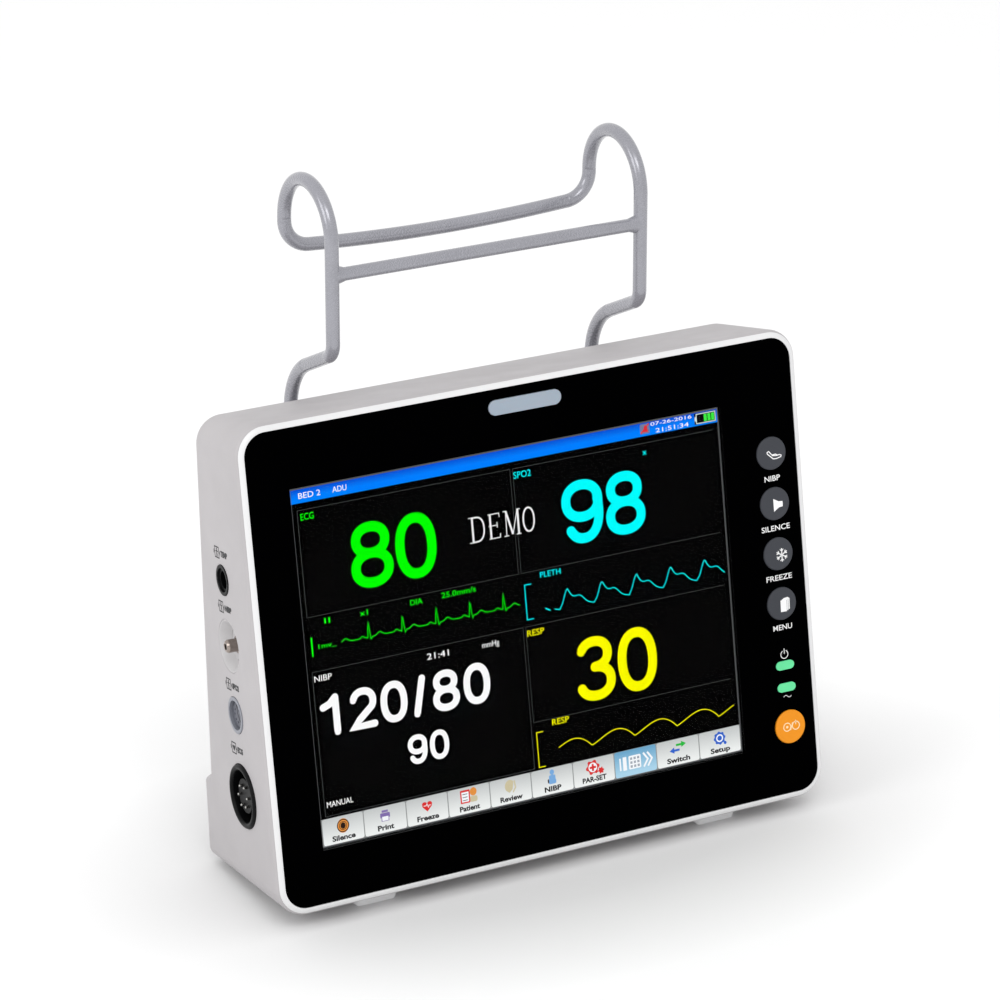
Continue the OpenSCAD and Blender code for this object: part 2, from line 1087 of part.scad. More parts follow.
// Left or right hinge bracket, with the lug for the wire and the stop finger
module bracket() {
  difference() {
    rear_frame() {
      translate([55.5, 2, hinge_up + 1])
        rotate([-90, 0, 0])
          slab(-1.9, 2)
            rounded_rect(23, 46, 4);
      translate([lug_x, 0, hinge_up])
        rotate([90, 0, 90])
          linear_extrude(9) {
            translate([hinge_out, 0])
              circle(7.5);
            polygon([[2, -10.5], [hinge_out + 1.5, -7.35], [hinge_out + 1.5, 7.35], [2, 10.5]]);
          }
      translate([58.4, 1, hinge_up + 12])
        cube([6, hinge_out - wire_d / 2 - 1.1 - 20 * sin(rear_lean), 8]);
    }
    translate([30, hinge_y, hinge_z])
      rotate([0, 90, 0])
        cylinder(h = 30, r = wire_d / 2 + 0.05);
    for (up = [-15.5, 17])
      rear_frame()
        translate([50, 2, hinge_up + up])
          rotate([90, 0, 0])
            cylinder(h = 10, r = 2.1, center = true);
  }
}

module bracket_right() {
  color([0.5, 0.51, 0.54])
    bracket();
}

module bracket_left() {
  color([0.5, 0.51, 0.54])
    mirror([1, 0, 0])
      bracket();
}

module bracket_screws() {
  color([0.62, 0.63, 0.66])
    for (s = [-1, 1])
      for (up = [-15.5, 17])
        rear_frame()
          translate([s * 50, 4, hinge_up + up])
            rotate([90, 0, 0]) {
              translate([0, 0, -2])
                cylinder(h = 2, r = 3.4);
              cylinder(h = 14, r = 1.6);
            }
}

// One leg of the wire hook: hinge end, rise, forward jog, upright and rail loop
module hook_leg() {
  jog_r = 24;
  jog_y = hinge_y - jog_r;
  turn = 64;
  foot_z = jog_z + (hinge_y - upright_y - jog_r * (1 - cos(turn))) / tan(turn)
    + jog_r * sin(turn);
  knee = knee_r * tan(turn / 2);
  lap = 0.4;
  slant = [-sin(turn), cos(turn)];
  x = leg_x;
  translate([lug_x - 1, hinge_y, hinge_z])
    rotate([0, 90, 0])
      cylinder(h = leg_x - end_r - lug_x + 1, r = wire_d / 2);
  translate([leg_x - end_r, hinge_y, hinge_z + end_r])
    rotate([90, 0, 0])
      rotate([0, 0, -90])
        rotate_extrude(angle = 90)
          translate([end_r, 0])
            circle(wire_d / 2);
  side_rod(x, [hinge_y, hinge_z + end_r], [hinge_y, jog_z]);
  side_bend(x, [jog_y, jog_z], jog_r, 0, turn);
  side_rod(x, [jog_y + jog_r * cos(turn), jog_z + jog_r * sin(turn)] - lap * slant,
           [upright_y, foot_z] - (knee - lap) * slant, wire_d / 2 - 0.02);
  side_bend(x, [upright_y + knee_r, foot_z + knee], knee_r, 180, turn);
  side_rod(x, [upright_y, foot_z + knee], [upright_y, loop_z]);
  side_bend(x, [upright_y + loop_r, loop_z], loop_r, 0, 180);
}

module hook_leg_right() {
  color([0.6, 0.61, 0.64])
    hook_leg();
}

module hook_leg_left() {
  color([0.6, 0.61, 0.64])
    mirror([1, 0, 0])
      hook_leg();
}

// The wire's end bar, which hangs from the two loops behind the rail and sags a little
module hook_end_bar() {
  bar_y = upright_y + 2 * loop_r;
  rise = asin((leg_x - bar_r) / (bow_r - bar_r));
  corner_z = bar_z + bow_r - (bow_r - bar_r) * cos(rise);
  lap = 0.04;
  color([0.6, 0.61, 0.64]) {
    for (s = [0, 1])
      mirror([s, 0, 0]) {
        translate([leg_x, bar_y, corner_z - 0.4])
          cylinder(h = loop_z - corner_z + 0.4, r = wire_d / 2 - 0.02);
        translate([leg_x - bar_r, bar_y, corner_z])
          rotate([90, 0, 0])
            rotate([0, 0, rise - 90])
              rotate_extrude(angle = 90 - rise)
                translate([bar_r, 0])
                  circle(wire_d / 2);
      }
    translate([0, bar_y, bar_z + bow_r])
      rotate([90, 0, 0])
        rotate([0, 0, -90 - rise - lap])
          rotate_extrude(angle = 2 * (rise + lap), $fn = 720)
            translate([bow_r, 0])
              circle(wire_d / 2 - 0.02, $fn = 48);
  }
}

module hook_crossbar() {
  color([0.6, 0.61, 0.64])
    difference() {
      translate([-leg_x, upright_y, cross_z])
        rotate([0, 90, 0])
          cylinder(h = 2 * leg_x, r = wire_d / 2 - 0.1);
      for (s = [-1, 1])
        translate([s * leg_x, upright_y, cross_z - 15])
          cylinder(h = 30, r = wire_d / 2);
    }
}

front_bezel();
front_panel();
display_window();
lcd_face();
lcd_frame();
alarm_lens();
alarm_board();
status_lights();
key_cuff();
key_silence();
key_freeze();
key_menu();
key_power();
keypad_board();
chassis_plate();
main_board();
board_chips();
sensor_board();
power_supply();
power_transformer();
battery_pack();
battery_tray();
battery_door();
cuff_pump();
cuff_valve();
air_tube();
speaker();
rear_housing();
case_screws();
foot_front_left();
foot_front_right();
foot_rear_left();
foot_rear_right();
temp_socket();
cuff_dish();
cuff_connector();
oximeter_socket();
oximeter_core();
lead_socket();
lead_pins();
mains_inlet();
inlet_blades();
network_socket();
ground_stud();
mount_plate();
plate_screws();
bracket_left();
bracket_right();
bracket_screws();
hook_leg_left();
hook_leg_right();
hook_end_bar();
hook_crossbar();
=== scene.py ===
"""Looks of the bedside patient monitor: finishes, printed marks, screen picture and studio.

Everything is placed in the frame's own metres. Lengths below are in millimetres unless a name ends in _m.
"""
import json
import math

import bpy
from mathutils import Matrix, Vector
from mathutils.geometry import tessellate_polygon


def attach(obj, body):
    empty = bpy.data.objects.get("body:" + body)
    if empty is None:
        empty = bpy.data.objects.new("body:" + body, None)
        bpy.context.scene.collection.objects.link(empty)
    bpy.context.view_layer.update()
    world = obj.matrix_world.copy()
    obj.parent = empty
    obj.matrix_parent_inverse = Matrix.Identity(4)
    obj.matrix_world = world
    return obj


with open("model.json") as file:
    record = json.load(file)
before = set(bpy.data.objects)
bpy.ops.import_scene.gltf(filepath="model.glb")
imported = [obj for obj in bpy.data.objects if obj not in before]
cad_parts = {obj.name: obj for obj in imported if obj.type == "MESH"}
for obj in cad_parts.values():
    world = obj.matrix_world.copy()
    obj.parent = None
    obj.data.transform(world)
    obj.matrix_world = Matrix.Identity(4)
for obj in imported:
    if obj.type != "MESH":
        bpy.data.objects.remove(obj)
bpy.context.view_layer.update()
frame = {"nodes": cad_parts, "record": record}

MM = 0.001
LEAN = 9.8
FACE_Y = -20
FACE_Z = 92.3
SIDE_X = -109.84
SIDE_DEPTH = 25.2
SIDE_TAPER = 3.72
REAR_Y = 32.6
REAR_LEAN = 2.3


# ---------------------------------------------------------------- places

def shift(x, y, z):
    return Matrix.Translation((x, y, z))


def turn(degrees, axis):
    return Matrix.Rotation(math.radians(degrees), 4, axis)


# Front face: X right, Y up the face, Z towards the viewer, zero on the black panel.
FACE = shift(0, FACE_Y, FACE_Z) @ turn(90 - LEAN, "X")
# The lit screen under the panel: same directions as the face.
SCREEN = FACE @ shift(0.85, -0.42, 0)
# Rear face as seen from behind: X to that viewer's right, Y up, Z towards that viewer.
REAR = shift(0, REAR_Y, FACE_Z) @ turn(-REAR_LEAN, "X") @ turn(180, "Z") @ turn(90, "X")


def side_place(up):
    """The left side at the socket row: X towards the front, Y up, Z outwards, zero on the shell."""
    return FACE @ shift(SIDE_X, up, -SIDE_DEPTH) @ turn(-(90 + SIDE_TAPER), "Y")


# ---------------------------------------------------------------- materials

class Look:
    """A node material with short calls for its usual parts."""

    def __init__(self, name):
        self.material = bpy.data.materials.new(name)
        self.material.use_nodes = True
        self.tree = self.material.node_tree
        self.shader = self.tree.nodes["Principled BSDF"]
        self.coords = self.add("ShaderNodeTexCoord").outputs["Object"]

    def add(self, kind, **settings):
        node = self.tree.nodes.new(kind)
        for key, value in settings.items():
            setattr(node, key, value)
        return node

    def link(self, out, into):
        self.tree.links.new(out, into)

    def set(self, **inputs):
        for key, value in inputs.items():
            self.shader.inputs[key.replace("_", " ")].default_value = value

    def noise(self, scale, detail=3.0, roughness=0.5, stretch=None):
        node = self.add("ShaderNodeTexNoise")
        node.inputs["Scale"].default_value = scale
        node.inputs["Detail"].default_value = detail
        node.inputs["Roughness"].default_value = roughness
        if stretch:
            mapping = self.add("ShaderNodeMapping")
            mapping.inputs["Scale"].default_value = stretch
            self.link(self.coords, mapping.inputs["Vector"])
            self.link(mapping.outputs["Vector"], node.inputs["Vector"])
        else:
            self.link(self.coords, node.inputs["Vector"])
        return node.outputs["Fac"]

    def spread(self, value, low, high, start=0.3, end=0.7):
        """The value's range start..end mapped to low..high."""
        node = self.add("ShaderNodeMapRange")
        node.inputs["From Min"].default_value = start
        node.inputs["From Max"].default_value = end
        node.inputs["To Min"].default_value = low
        node.inputs["To Max"].default_value = high
        self.link(value, node.inputs["Value"])
        return node.outputs["Result"]

    def blend(self, factor, one, two):
        node = self.add("ShaderNodeMix", data_type="RGBA")
        self.link(factor, node.inputs[0])
        for socket, colour in ((node.inputs[6], one), (node.inputs[7], two)):
            if isinstance(colour, (tuple, list)):
                socket.default_value = (*colour[:3], 1)
            else:
                self.link(colour, socket)
        return node.outputs[2]

    def bump(self, height, strength, distance, normal=None):
        node = self.add("ShaderNodeBump")
        node.inputs["Strength"].default_value = strength
        node.inputs["Distance"].default_value = distance
        self.link(height, node.inputs["Height"])
        if normal is not None:
            self.link(normal, node.inputs["Normal"])
        self.link(node.outputs["Normal"], self.shader.inputs["Normal"])
        return node.outputs["Normal"]


def tint(colour, by):
    return tuple(min(1.0, channel * by) for channel in colour)


def plastic(name, colour, rough=0.45, vary=0.04, grain=2600, depth=0.05, gloss=0.5):
    """Moulded plastic or rubber: faint cloudy colour, uneven polish and a fine skin texture."""
    look = Look(name)
    cloud = look.noise(28, 4)
    colour_out = look.blend(look.spread(cloud, 0, 1), tint(colour, 1 - vary), tint(colour, 1 + vary))
    look.link(colour_out, look.shader.inputs["Base Color"])
    look.link(look.spread(look.noise(90, 3), rough * 0.88, rough * 1.12), look.shader.inputs["Roughness"])
    look.bump(look.noise(grain, 2), depth, 0.00012)
    look.set(Specular_IOR_Level=gloss)
    return look


def metal(name, colour, rough=0.3, brush=(1, 1, 1), vary=0.06, depth=0.08):
    """Bare or plated metal with a brushed or rolled surface."""
    look = Look(name)
    look.set(Metallic=1.0)
    streak = look.noise(900, 3, stretch=brush)
    cloud = look.noise(60, 3)
    colour_out = look.blend(look.spread(cloud, 0, 1), tint(colour, 1 - vary), tint(colour, 1 + vary))
    look.link(colour_out, look.shader.inputs["Base Color"])
    look.link(look.spread(streak, rough * 0.75, rough * 1.3), look.shader.inputs["Roughness"])
    look.bump(streak, depth, 0.00006)
    return look


def powder_coat(name, colour):
    """Painted steel with an orange-peel skin."""
    look = plastic(name, colour, rough=0.5, vary=0.05, grain=1500, depth=0.22)
    look.set(Coat_Weight=0.15, Coat_Roughness=0.35)
    return look


def flake_paint(name, colour):
    """Silver paint: fine bright flakes under a clear coat."""
    look = Look(name)
    cells = look.add("ShaderNodeTexVoronoi")
    cells.inputs["Scale"].default_value = 2600
    look.link(look.coords, cells.inputs["Vector"])
    flake = look.add("ShaderNodeSeparateColor")
    look.link(cells.outputs["Color"], flake.inputs["Color"])
    bright = look.spread(flake.outputs["Red"], 0, 1, 0.6, 0.98)
    base = look.blend(look.spread(look.noise(45, 3), 0, 1), tint(colour, 0.92), tint(colour, 1.06))
    look.link(look.blend(bright, base, tint(colour, 1.1)), look.shader.inputs["Base Color"])
    look.link(look.spread(flake.outputs["Green"], 0.22, 0.3, 0, 1), look.shader.inputs["Roughness"])
    skin = look.bump(flake.outputs["Blue"], 0.02, 0.00004)
    look.bump(look.noise(420, 2), 0.03, 0.0001, skin)
    look.set(Metallic=0.35, Coat_Weight=0.6, Coat_Roughness=0.1)
    return look


def board(name, colour):
    """Circuit board: solder mask with faint tracks and tinned dots."""
    look = Look(name)
    tracks = look.add("ShaderNodeTexBrick")
    tracks.inputs["Scale"].default_value = 210
    tracks.inputs["Mortar Size"].default_value = 0.09
    tracks.inputs["Color1"].default_value = (*tint(colour, 0.85), 1)
    tracks.inputs["Color2"].default_value = (*tint(colour, 1.1), 1)
    tracks.inputs["Mortar"].default_value = (*tint(colour, 1.7), 1)
    look.link(look.coords, tracks.inputs["Vector"])
    dots = look.add("ShaderNodeTexVoronoi")
    dots.inputs["Scale"].default_value = 240
    look.link(look.coords, dots.inputs["Vector"])
    pad = look.spread(dots.outputs["Distance"], 1, 0, 0.16, 0.2)
    look.link(look.blend(pad, tracks.outputs["Color"], (0.62, 0.6, 0.55)), look.shader.inputs["Base Color"])
    look.link(look.spread(look.noise(200), 0.3, 0.45), look.shader.inputs["Roughness"])
    look.bump(tracks.outputs["Fac"], 0.25, 0.00008)
    return look


def black_panel(name):
    """Back-printed black front panel with a hard, barely reflecting surface."""
    look = plastic(name, (0.0003, 0.0003, 0.0004), rough=0.24, vary=0.1, grain=300, depth=0.01, gloss=0.0)
    return look


def pane(name):
    """Clear window over the screen, with a trace of uneven polish."""
    look = Look(name)
    look.set(Transmission_Weight=1.0, IOR=1.06, Alpha=1.0)
    tone = look.blend(look.spread(look.noise(40), 0, 1), (0.985, 0.99, 0.99), (1, 1, 1))
    look.link(tone, look.shader.inputs["Base Color"])
    look.link(look.spread(look.noise(300), 0.0, 0.003), look.shader.inputs["Roughness"])
    return look


def frosted(name, colour, glow, strength, gloss=0.5):
    """Milky lens, lit faintly from inside, its glow varying a little in patches."""
    look = plastic(name, colour, rough=0.38, vary=0.03, grain=1400, depth=0.08, gloss=gloss)
    look.set(Emission_Color=(*glow, 1), Subsurface_Weight=0.15, Subsurface_Scale=0.002)
    look.link(look.spread(look.noise(160, 2), strength * 0.9, strength * 1.1), look.shader.inputs["Emission Strength"])
    return look


def lit(name, colour, strength=1.0, fade=None):
    """Lit screen colour over fine rows of cells; fade gives a second colour towards the lower edge."""
    look = Look(name)
    rows = look.add("ShaderNodeTexWave", wave_type="BANDS", bands_direction="Z")
    rows.inputs["Scale"].default_value = 1300
    look.link(look.coords, rows.inputs["Vector"])
    shade = look.spread(rows.outputs["Fac"], 0.95, 1.0, 0, 1)
    tone = look.blend(look.spread(look.noise(60, 2), 0, 1), tint(colour, 0.97), tint(colour, 1.0))
    if fade:
        split = look.add("ShaderNodeSeparateXYZ")
        look.link(look.coords, split.inputs["Vector"])
        near, far, other = fade
        tone = look.blend(look.spread(split.outputs["Z"], 0, 1, near, far), other, tone)
    look.link(tone, look.shader.inputs["Emission Color"])
    level = look.add("ShaderNodeMath", operation="MULTIPLY")
    look.link(shade, level.inputs[0])
    level.inputs[1].default_value = strength
    look.link(level.outputs[0], look.shader.inputs["Emission Strength"])
    look.set(Base_Color=(0, 0, 0, 1), Roughness=0.8, Specular_IOR_Level=0.0)
    return look


def screen_cells(name):
    """Unlit screen face: almost black with a fine grain."""
    look = plastic(name, (0.0003, 0.0003, 0.0004), rough=0.6, vary=0.15, grain=4000, depth=0.05, gloss=0.0)
    return look


def ink(name, colour, rough=0.5):
    """Screen-printed ink with faintly uneven colour and a fine grain."""
    return plastic(name, colour, rough=rough, vary=0.08, grain=5000, depth=0.12, gloss=0.3)


LOOKS = {
    "shell_grey": lambda n: plastic(n, (0.432, 0.414, 0.423), rough=0.5, grain=3200, depth=0.1, gloss=0.35),
    "bezel_white": lambda n: plastic(n, (0.71, 0.71, 0.715), rough=0.32, vary=0.02, depth=0.04),
    "panel_black": black_panel,
    "screen_glass": pane,
    "screen_cells": screen_cells,
    "sheet_metal": lambda n: metal(n, (0.55, 0.56, 0.58), 0.38, (1, 1, 12)),
    "lens_frost": lambda n: frosted(n, (0.28, 0.33, 0.39), (0.5, 0.6, 0.7), 0.06, gloss=0.3),
    "light_green": lambda n: frosted(n, (0.07, 0.36, 0.16), (0.12, 0.8, 0.36), 0.5, gloss=0.3),
    "key_grey": lambda n: plastic(n, (0.042, 0.045, 0.054), rough=0.55, grain=2200, depth=0.12, gloss=0.25),
    "key_orange": lambda n: plastic(n, (0.8, 0.27, 0.004), rough=0.5, grain=2200, depth=0.1, gloss=0.25),
    "board_green": lambda n: board(n, (0.02, 0.12, 0.05)),
    "board_blue": lambda n: board(n, (0.015, 0.05, 0.14)),
    "board_tan": lambda n: board(n, (0.22, 0.15, 0.05)),
    "chip_black": lambda n: plastic(n, (0.02, 0.02, 0.022), rough=0.6, grain=1800, depth=0.15),
    "winding_yellow": lambda n: plastic(n, (0.55, 0.42, 0.04), rough=0.35, vary=0.12, grain=700, depth=0.2),
    "cell_blue": lambda n: plastic(n, (0.02, 0.045, 0.12), rough=0.25, vary=0.1, grain=120, depth=0.2),
    "motor_steel": lambda n: metal(n, (0.5, 0.5, 0.52), 0.3, (14, 1, 1)),
    "valve_black": lambda n: plastic(n, (0.02, 0.02, 0.022), rough=0.42, grain=1600),
    "hose_clear": lambda n: plastic(n, (0.6, 0.64, 0.68), rough=0.22, vary=0.05, grain=200, depth=0.05),
    "speaker_black": lambda n: plastic(n, (0.018, 0.018, 0.02), rough=0.8, grain=900, depth=0.4),
    "screw_zinc": lambda n: metal(n, (0.5, 0.5, 0.53), 0.28, (1, 1, 1), depth=0.15),
    "foot_white": lambda n: plastic(n, (0.84, 0.84, 0.85), rough=0.6, vary=0.03, grain=1500, depth=0.15),
    "port_black": lambda n: plastic(n, (0.002, 0.002, 0.0025), rough=0.42, grain=1800, depth=0.06, gloss=0.12),
    "dish_white": lambda n: plastic(n, (0.5, 0.488, 0.494), rough=0.34, vary=0.02, depth=0.03),
    "nipple_metal": lambda n: metal(n, (0.34, 0.29, 0.26), 0.2, (1, 6, 6)),
    "port_grey": lambda n: plastic(n, (0.22, 0.23, 0.265), rough=0.35, grain=1800, depth=0.06),
    "core_grey": lambda n: plastic(n, (0.085, 0.09, 0.115), rough=0.4, grain=1800, depth=0.06),
    "pin_nickel": lambda n: metal(n, (0.34, 0.335, 0.32), 0.3),
    "blade_brass": lambda n: metal(n, (0.7, 0.58, 0.32), 0.2),
    "port_silver": lambda n: metal(n, (0.55, 0.56, 0.57), 0.3, (12, 1, 1)),
    "stud_brass": lambda n: metal(n, (0.68, 0.5, 0.2), 0.22, (6, 1, 6)),
    "plate_grey": lambda n: powder_coat(n, (0.09, 0.095, 0.11)),
    "bracket_grey": lambda n: powder_coat(n, (0.125, 0.13, 0.14)),
    "wire_silver": lambda n: flake_paint(n, (0.29, 0.29, 0.322)),
}


def dress_nodes():
    """Gives every CAD node its slot's finish, smooth shading and softened edges."""
    made = {}
    edge = {"rear_housing": 0.25, "front_panel": 0.12, "display_window": 0.05, "lcd_face": 0.05}
    for entry in frame["record"]["subparts"]:
        node = frame["nodes"][entry["node"]]
        slot_name = entry["material_slot"]
        if slot_name not in made:
            made[slot_name] = LOOKS[slot_name](slot_name).material
        node.data.materials.clear()
        node.data.materials.append(made[slot_name])
        soften(node, edge.get(entry["node"], 0.18))
    return made


def soften(obj, width):
    """Joins the facets, rounds sharp edges by width and shades the rest smooth."""
    weld = obj.modifiers.new("weld", "WELD")
    weld.merge_threshold = 0.000004
    if width:
        bevel = obj.modifiers.new("bevel", "BEVEL")
        bevel.width = width * MM
        bevel.segments = 2
        bevel.limit_method = "ANGLE"
        bevel.angle_limit = math.radians(35)
        bevel.harden_normals = True
        bevel.use_clamp_overlap = True
    level = obj.modifiers.new("level", "WEIGHTED_NORMAL")
    level.mode = "FACE_AREA"
    level.weight = 100
    level.keep_sharp = True
    for face in obj.data.polygons:
        face.use_smooth = True


dress_nodes()


# ---------------------------------------------------------------- flat shapes

def arc(cx, cy, rx, ry, start, end, steps=24, power=2.0):
    """Points on an ellipse from start to end in degrees; a power over 2 makes it squarer."""
    points = []
    for i in range(steps + 1):
        angle = math.radians(start + (end - start) * i / steps)
        c, s = math.cos(angle), math.sin(angle)
        points.append((cx + rx * math.copysign(abs(c) ** (2 / power), c),
                       cy + ry * math.copysign(abs(s) ** (2 / power), s)))
    return points


def rounded(x0, x1, y0, y1, r, steps=6):
    """Outline of a rounded rectangle."""
    points = []
    for cx, cy, start in ((x1 - r, y1 - r, 0), (x0 + r, y1 - r, 90), (x0 + r, y0 + r, 180), (x1 - r, y0 + r, 270)):
        points += arc(cx, cy, r, r, start, start + 90, steps)
    return points


def offset_sides(points, width, closed):
    """Left and right edges of a band of the given width along the points."""
    left, right = [], []
    last = len(points) - 1
    for i, (x, y) in enumerate(points):
        before = points[i - 1] if i or closed else points[i]
        after = points[(i + 1) % len(points)] if i < last or closed else points[i]
        ax, ay = x - before[0], y - before[1]
        bx, by = after[0] - x, after[1] - y
        al, bl = math.hypot(ax, ay) or 1, math.hypot(bx, by) or 1
        ax, ay, bx, by = ax / al, ay / al, bx / bl, by / bl
        tx, ty = ax + bx, ay + by
        tl = math.hypot(tx, ty) or 1
        tx, ty = tx / tl, ty / tl
        reach = width / 2
        if 0 < i < last or closed:
            reach /= max(0.5, abs(tx * bx + ty * by))
        left.append((x - ty * reach, y + tx * reach))
        right.append((x + ty * reach, y - tx * reach))
    return left, right


class Print:
    """One piece made of thin closed shapes that lie on a place, from low to high above it."""

    def __init__(self, name, place, low, high):
        self.name, self.place, self.low, self.high = name, place, low, high
        self.verts, self.faces = [], []

    def solid(self, points, faces):
        """Closes a flat patch of faces into a thin solid."""
        area = 0
        for face in faces:
            for i, a in enumerate(face):
                b = face[(i + 1) % len(face)]
                area += points[a][0] * points[b][1] - points[b][0] * points[a][1]
        if area < 0:
            faces = [tuple(reversed(face)) for face in faces]
        start, count = len(self.verts), len(points)
        for level in (self.high, self.low):
            self.verts += [self.place @ Vector((x, y, level)) * MM for x, y in points]
        edges = {}
        for face in faces:
            self.faces.append(tuple(start + i for i in face))
            self.faces.append(tuple(start + count + i for i in reversed(face)))
            for i, a in enumerate(face):
                edges[(a, face[(i + 1) % len(face)])] = True
        for a, b in edges:
            if (b, a) not in edges:
                self.faces.append((start + b, start + a, start + count + a, start + count + b))

    def outline(self, points, holes=()):
        loops = [[Vector((x, y, 0)) for x, y in loop] for loop in (points, *holes)]
        flat = [(v.x, v.y) for loop in loops for v in loop]
        self.solid(flat, [tuple(t) for t in tessellate_polygon(loops)])

    def box(self, x0, x1, y0, y1, r=0):
        self.outline(rounded(x0, x1, y0, y1, r) if r else [(x0, y0), (x1, y0), (x1, y1), (x0, y1)])

    def disc(self, x, y, r, ry=None):
        self.outline(arc(x, y, r, ry or r, 0, 345, 23))

    def band(self, points, width, closed=False, round_ends=True):
        left, right = offset_sides(points, width, closed)
        count = len(points)
        flat = left + right
        quads = [(i, i + 1, count + i + 1, count + i) for i in range(count - 1)]
        if closed:
            quads.append((count - 1, 0, count, 2 * count - 1))
        elif round_ends:
            for i, other in ((0, 1), (count - 1, count - 2)):
                x, y = points[i]
                back = math.degrees(math.atan2(y - points[other][1], x - points[other][0]))
                cap = arc(x, y, width / 2, width / 2, back - 90, back + 90, 8)[1:-1]
                first = len(flat)
                flat += cap
                ends = (i, count + i) if i == 0 else (count + i, i)
                quads.append((*reversed(range(first, first + len(cap))), ends[1] if i == 0 else ends[0],
                              ends[0] if i == 0 else ends[1]))
        self.solid(flat, quads)

    def ring(self, x, y, r, width):
        self.band(arc(x, y, r, r, 0, 350, 35), width, closed=True)

    def words(self, text, left, right, base, cap, slant=0.0, bold=0.0):
        """Lettering between left and right, on base, with capitals cap high."""
        points, faces = letter_shapes(text, bold)
        x0 = min(p[0] for p in points)
        x1 = max(p[0] for p in points)
        across = (right - left) / (x1 - x0)
        up = cap / CAPITAL
        placed = [(left + (x - x0) * across + slant * y * up, base + y * up) for x, y in points]
        self.solid(placed, faces)

    def done(self, material, body="case", slot_name=None):
        mesh = bpy.data.meshes.new(self.name)
        mesh.from_pydata(self.verts, [], self.faces)
        mesh.validate()
        mesh.materials.append(material)
        piece = bpy.data.objects.new(self.name, mesh)
        bpy.context.scene.collection.objects.link(piece)
        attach(piece, body)
        return piece


def letter_shapes(text, bold=0.0):
    """Flat outline of a text in the built-in font, as points and faces at size 1."""
    curve = bpy.data.curves.new("letters", "FONT")
    curve.body = text
    curve.size = 1
    curve.resolution_u = 3
    curve.offset = bold
    temporary = bpy.data.objects.new("letters", curve)
    bpy.context.scene.collection.objects.link(temporary)
    graph = bpy.context.evaluated_depsgraph_get()
    mesh = bpy.data.meshes.new_from_object(temporary.evaluated_get(graph))
    places, points, index = {}, [], []
    for vertex in mesh.vertices:
        key = (round(vertex.co.x, 5), round(vertex.co.y, 5))
        if key not in places:
            places[key] = len(points)
            points.append(key)
        index.append(places[key])
    faces = []
    for polygon in mesh.polygons:
        face = tuple(index[i] for i in polygon.vertices)
        if len(set(face)) == len(face):
            faces.append(face)
    bpy.data.objects.remove(temporary)
    bpy.data.curves.remove(curve)
    bpy.data.meshes.remove(mesh)
    return points, faces


CAPITAL = max(p[1] for p in letter_shapes("H")[0])


# ---------------------------------------------------------------- big digits

def digit_paths(sign, w, h, half):
    """Centre lines of a digit in a box w by h, for a stroke whose half width is half."""
    x0, x1, y0, y1 = half, w - half, half, h - half
    cx, rx = (x0 + x1) / 2, (x1 - x0) / 2
    waist = y0 + (y1 - y0) * 0.53
    low_r, high_r = (waist - y0) / 2, (y1 - waist) / 2
    if sign == "0":
        return [(arc(cx, h / 2, rx, (y1 - y0) / 2, 0, 350, 35, 2.25), True)]
    if sign == "8":
        return [(arc(cx, waist + high_r, rx * 0.88, high_r, 0, 350, 35, 2.15), True),
                (arc(cx, waist - low_r, rx, low_r, 0, 350, 35, 2.15), True)]
    if sign == "9":
        loop_r = (y1 - y0) * 0.3
        tail = arc(cx, h / 2, rx, (y1 - y0) / 2, 25, -142, 30, 2.25)
        return [(arc(cx, y1 - loop_r, rx, loop_r, 0, 350, 35, 2.15), True), (tail, False)]
    if sign == "3":
        upper = arc(cx, waist + high_r, rx * 0.88, high_r, 158, -90, 26, 2.15)
        lower = arc(cx, waist - low_r, rx, low_r, 90, -160, 28, 2.15)
        return [(upper, False), (lower, False)]
    if sign == "1":
        return [([(x1, y0), (x1, y1)], False), ([(x1, y1), (x1 - w * 0.3, y1 - h * 0.14), (x0, y1 - h * 0.2)], False)]
    if sign == "2":
        top_r = (y1 - y0) * 0.3
        bend = arc(cx, y1 - top_r, rx, top_r, 165, -35, 22, 2.15)
        return [(bend + [(x0 + rx * 0.55, y0 + h * 0.16), (x0, y0), (x1, y0)], False)]
    return [([(x0, y0), (x1, y1)], False)]


def big_number(piece, signs, bottom, top, stroke):
    """Draws digits given as (sign, left, right) between bottom and top."""
    for sign, left, right in signs:
        for path, closed in digit_paths(sign, right - left, top - bottom, stroke / 2):
            piece.band([(left + x, bottom + y) for x, y in path], stroke, closed)


# ---------------------------------------------------------------- screen picture

SCREEN_LEFT, SCREEN_RIGHT = -93.2, 77.2
SCREEN_LOW, SCREEN_HIGH = -64.7, 63.1
PLATE, MARK, TOP_MARK = (-1.69, -1.66), (-1.65, -1.62), (-1.61, -1.58)


def screen_print(name, layer):
    return Print(name, SCREEN, *layer)


def hump(x, centre, width):
    return math.exp(-((x - centre) / width) ** 2)


def heart_trace(left, right, base, first, step, peak):
    points = []
    x = left
    while x < right:
        beat = (x - first + step / 2) % step - step / 2
        y = 0.75 * hump(beat, -2.6, 0.75) - 0.45 * hump(beat, -0.62, 0.22) + 1.15 * hump(beat, 4.2, 1.3)
        if abs(beat) < 0.55:
            y += peak * (1 - abs(beat) / 0.55)
        y -= 1.0 * hump(beat, 0.75, 0.25)
        points.append((x, base + y))
        x += 0.28
    return points


def pulse_trace(left, right, base, first, step, peak):
    points = []
    x = left
    while x < right:
        beat = (x - first + 3.6) % step
        rise = math.sin(min(beat / 3.6, 1) * math.pi / 2) ** 2
        fall = math.exp(-max(0, beat - 3.6) / 2.3)
        shoulder = 0.36 * hump(beat, 8.2, 2.3)
        sink = -0.1 * max(0, beat - 9) / 4
        points.append((x, base + peak * (rise * fall + shoulder * (beat > 2) + sink)))
        x += 0.4
    return points


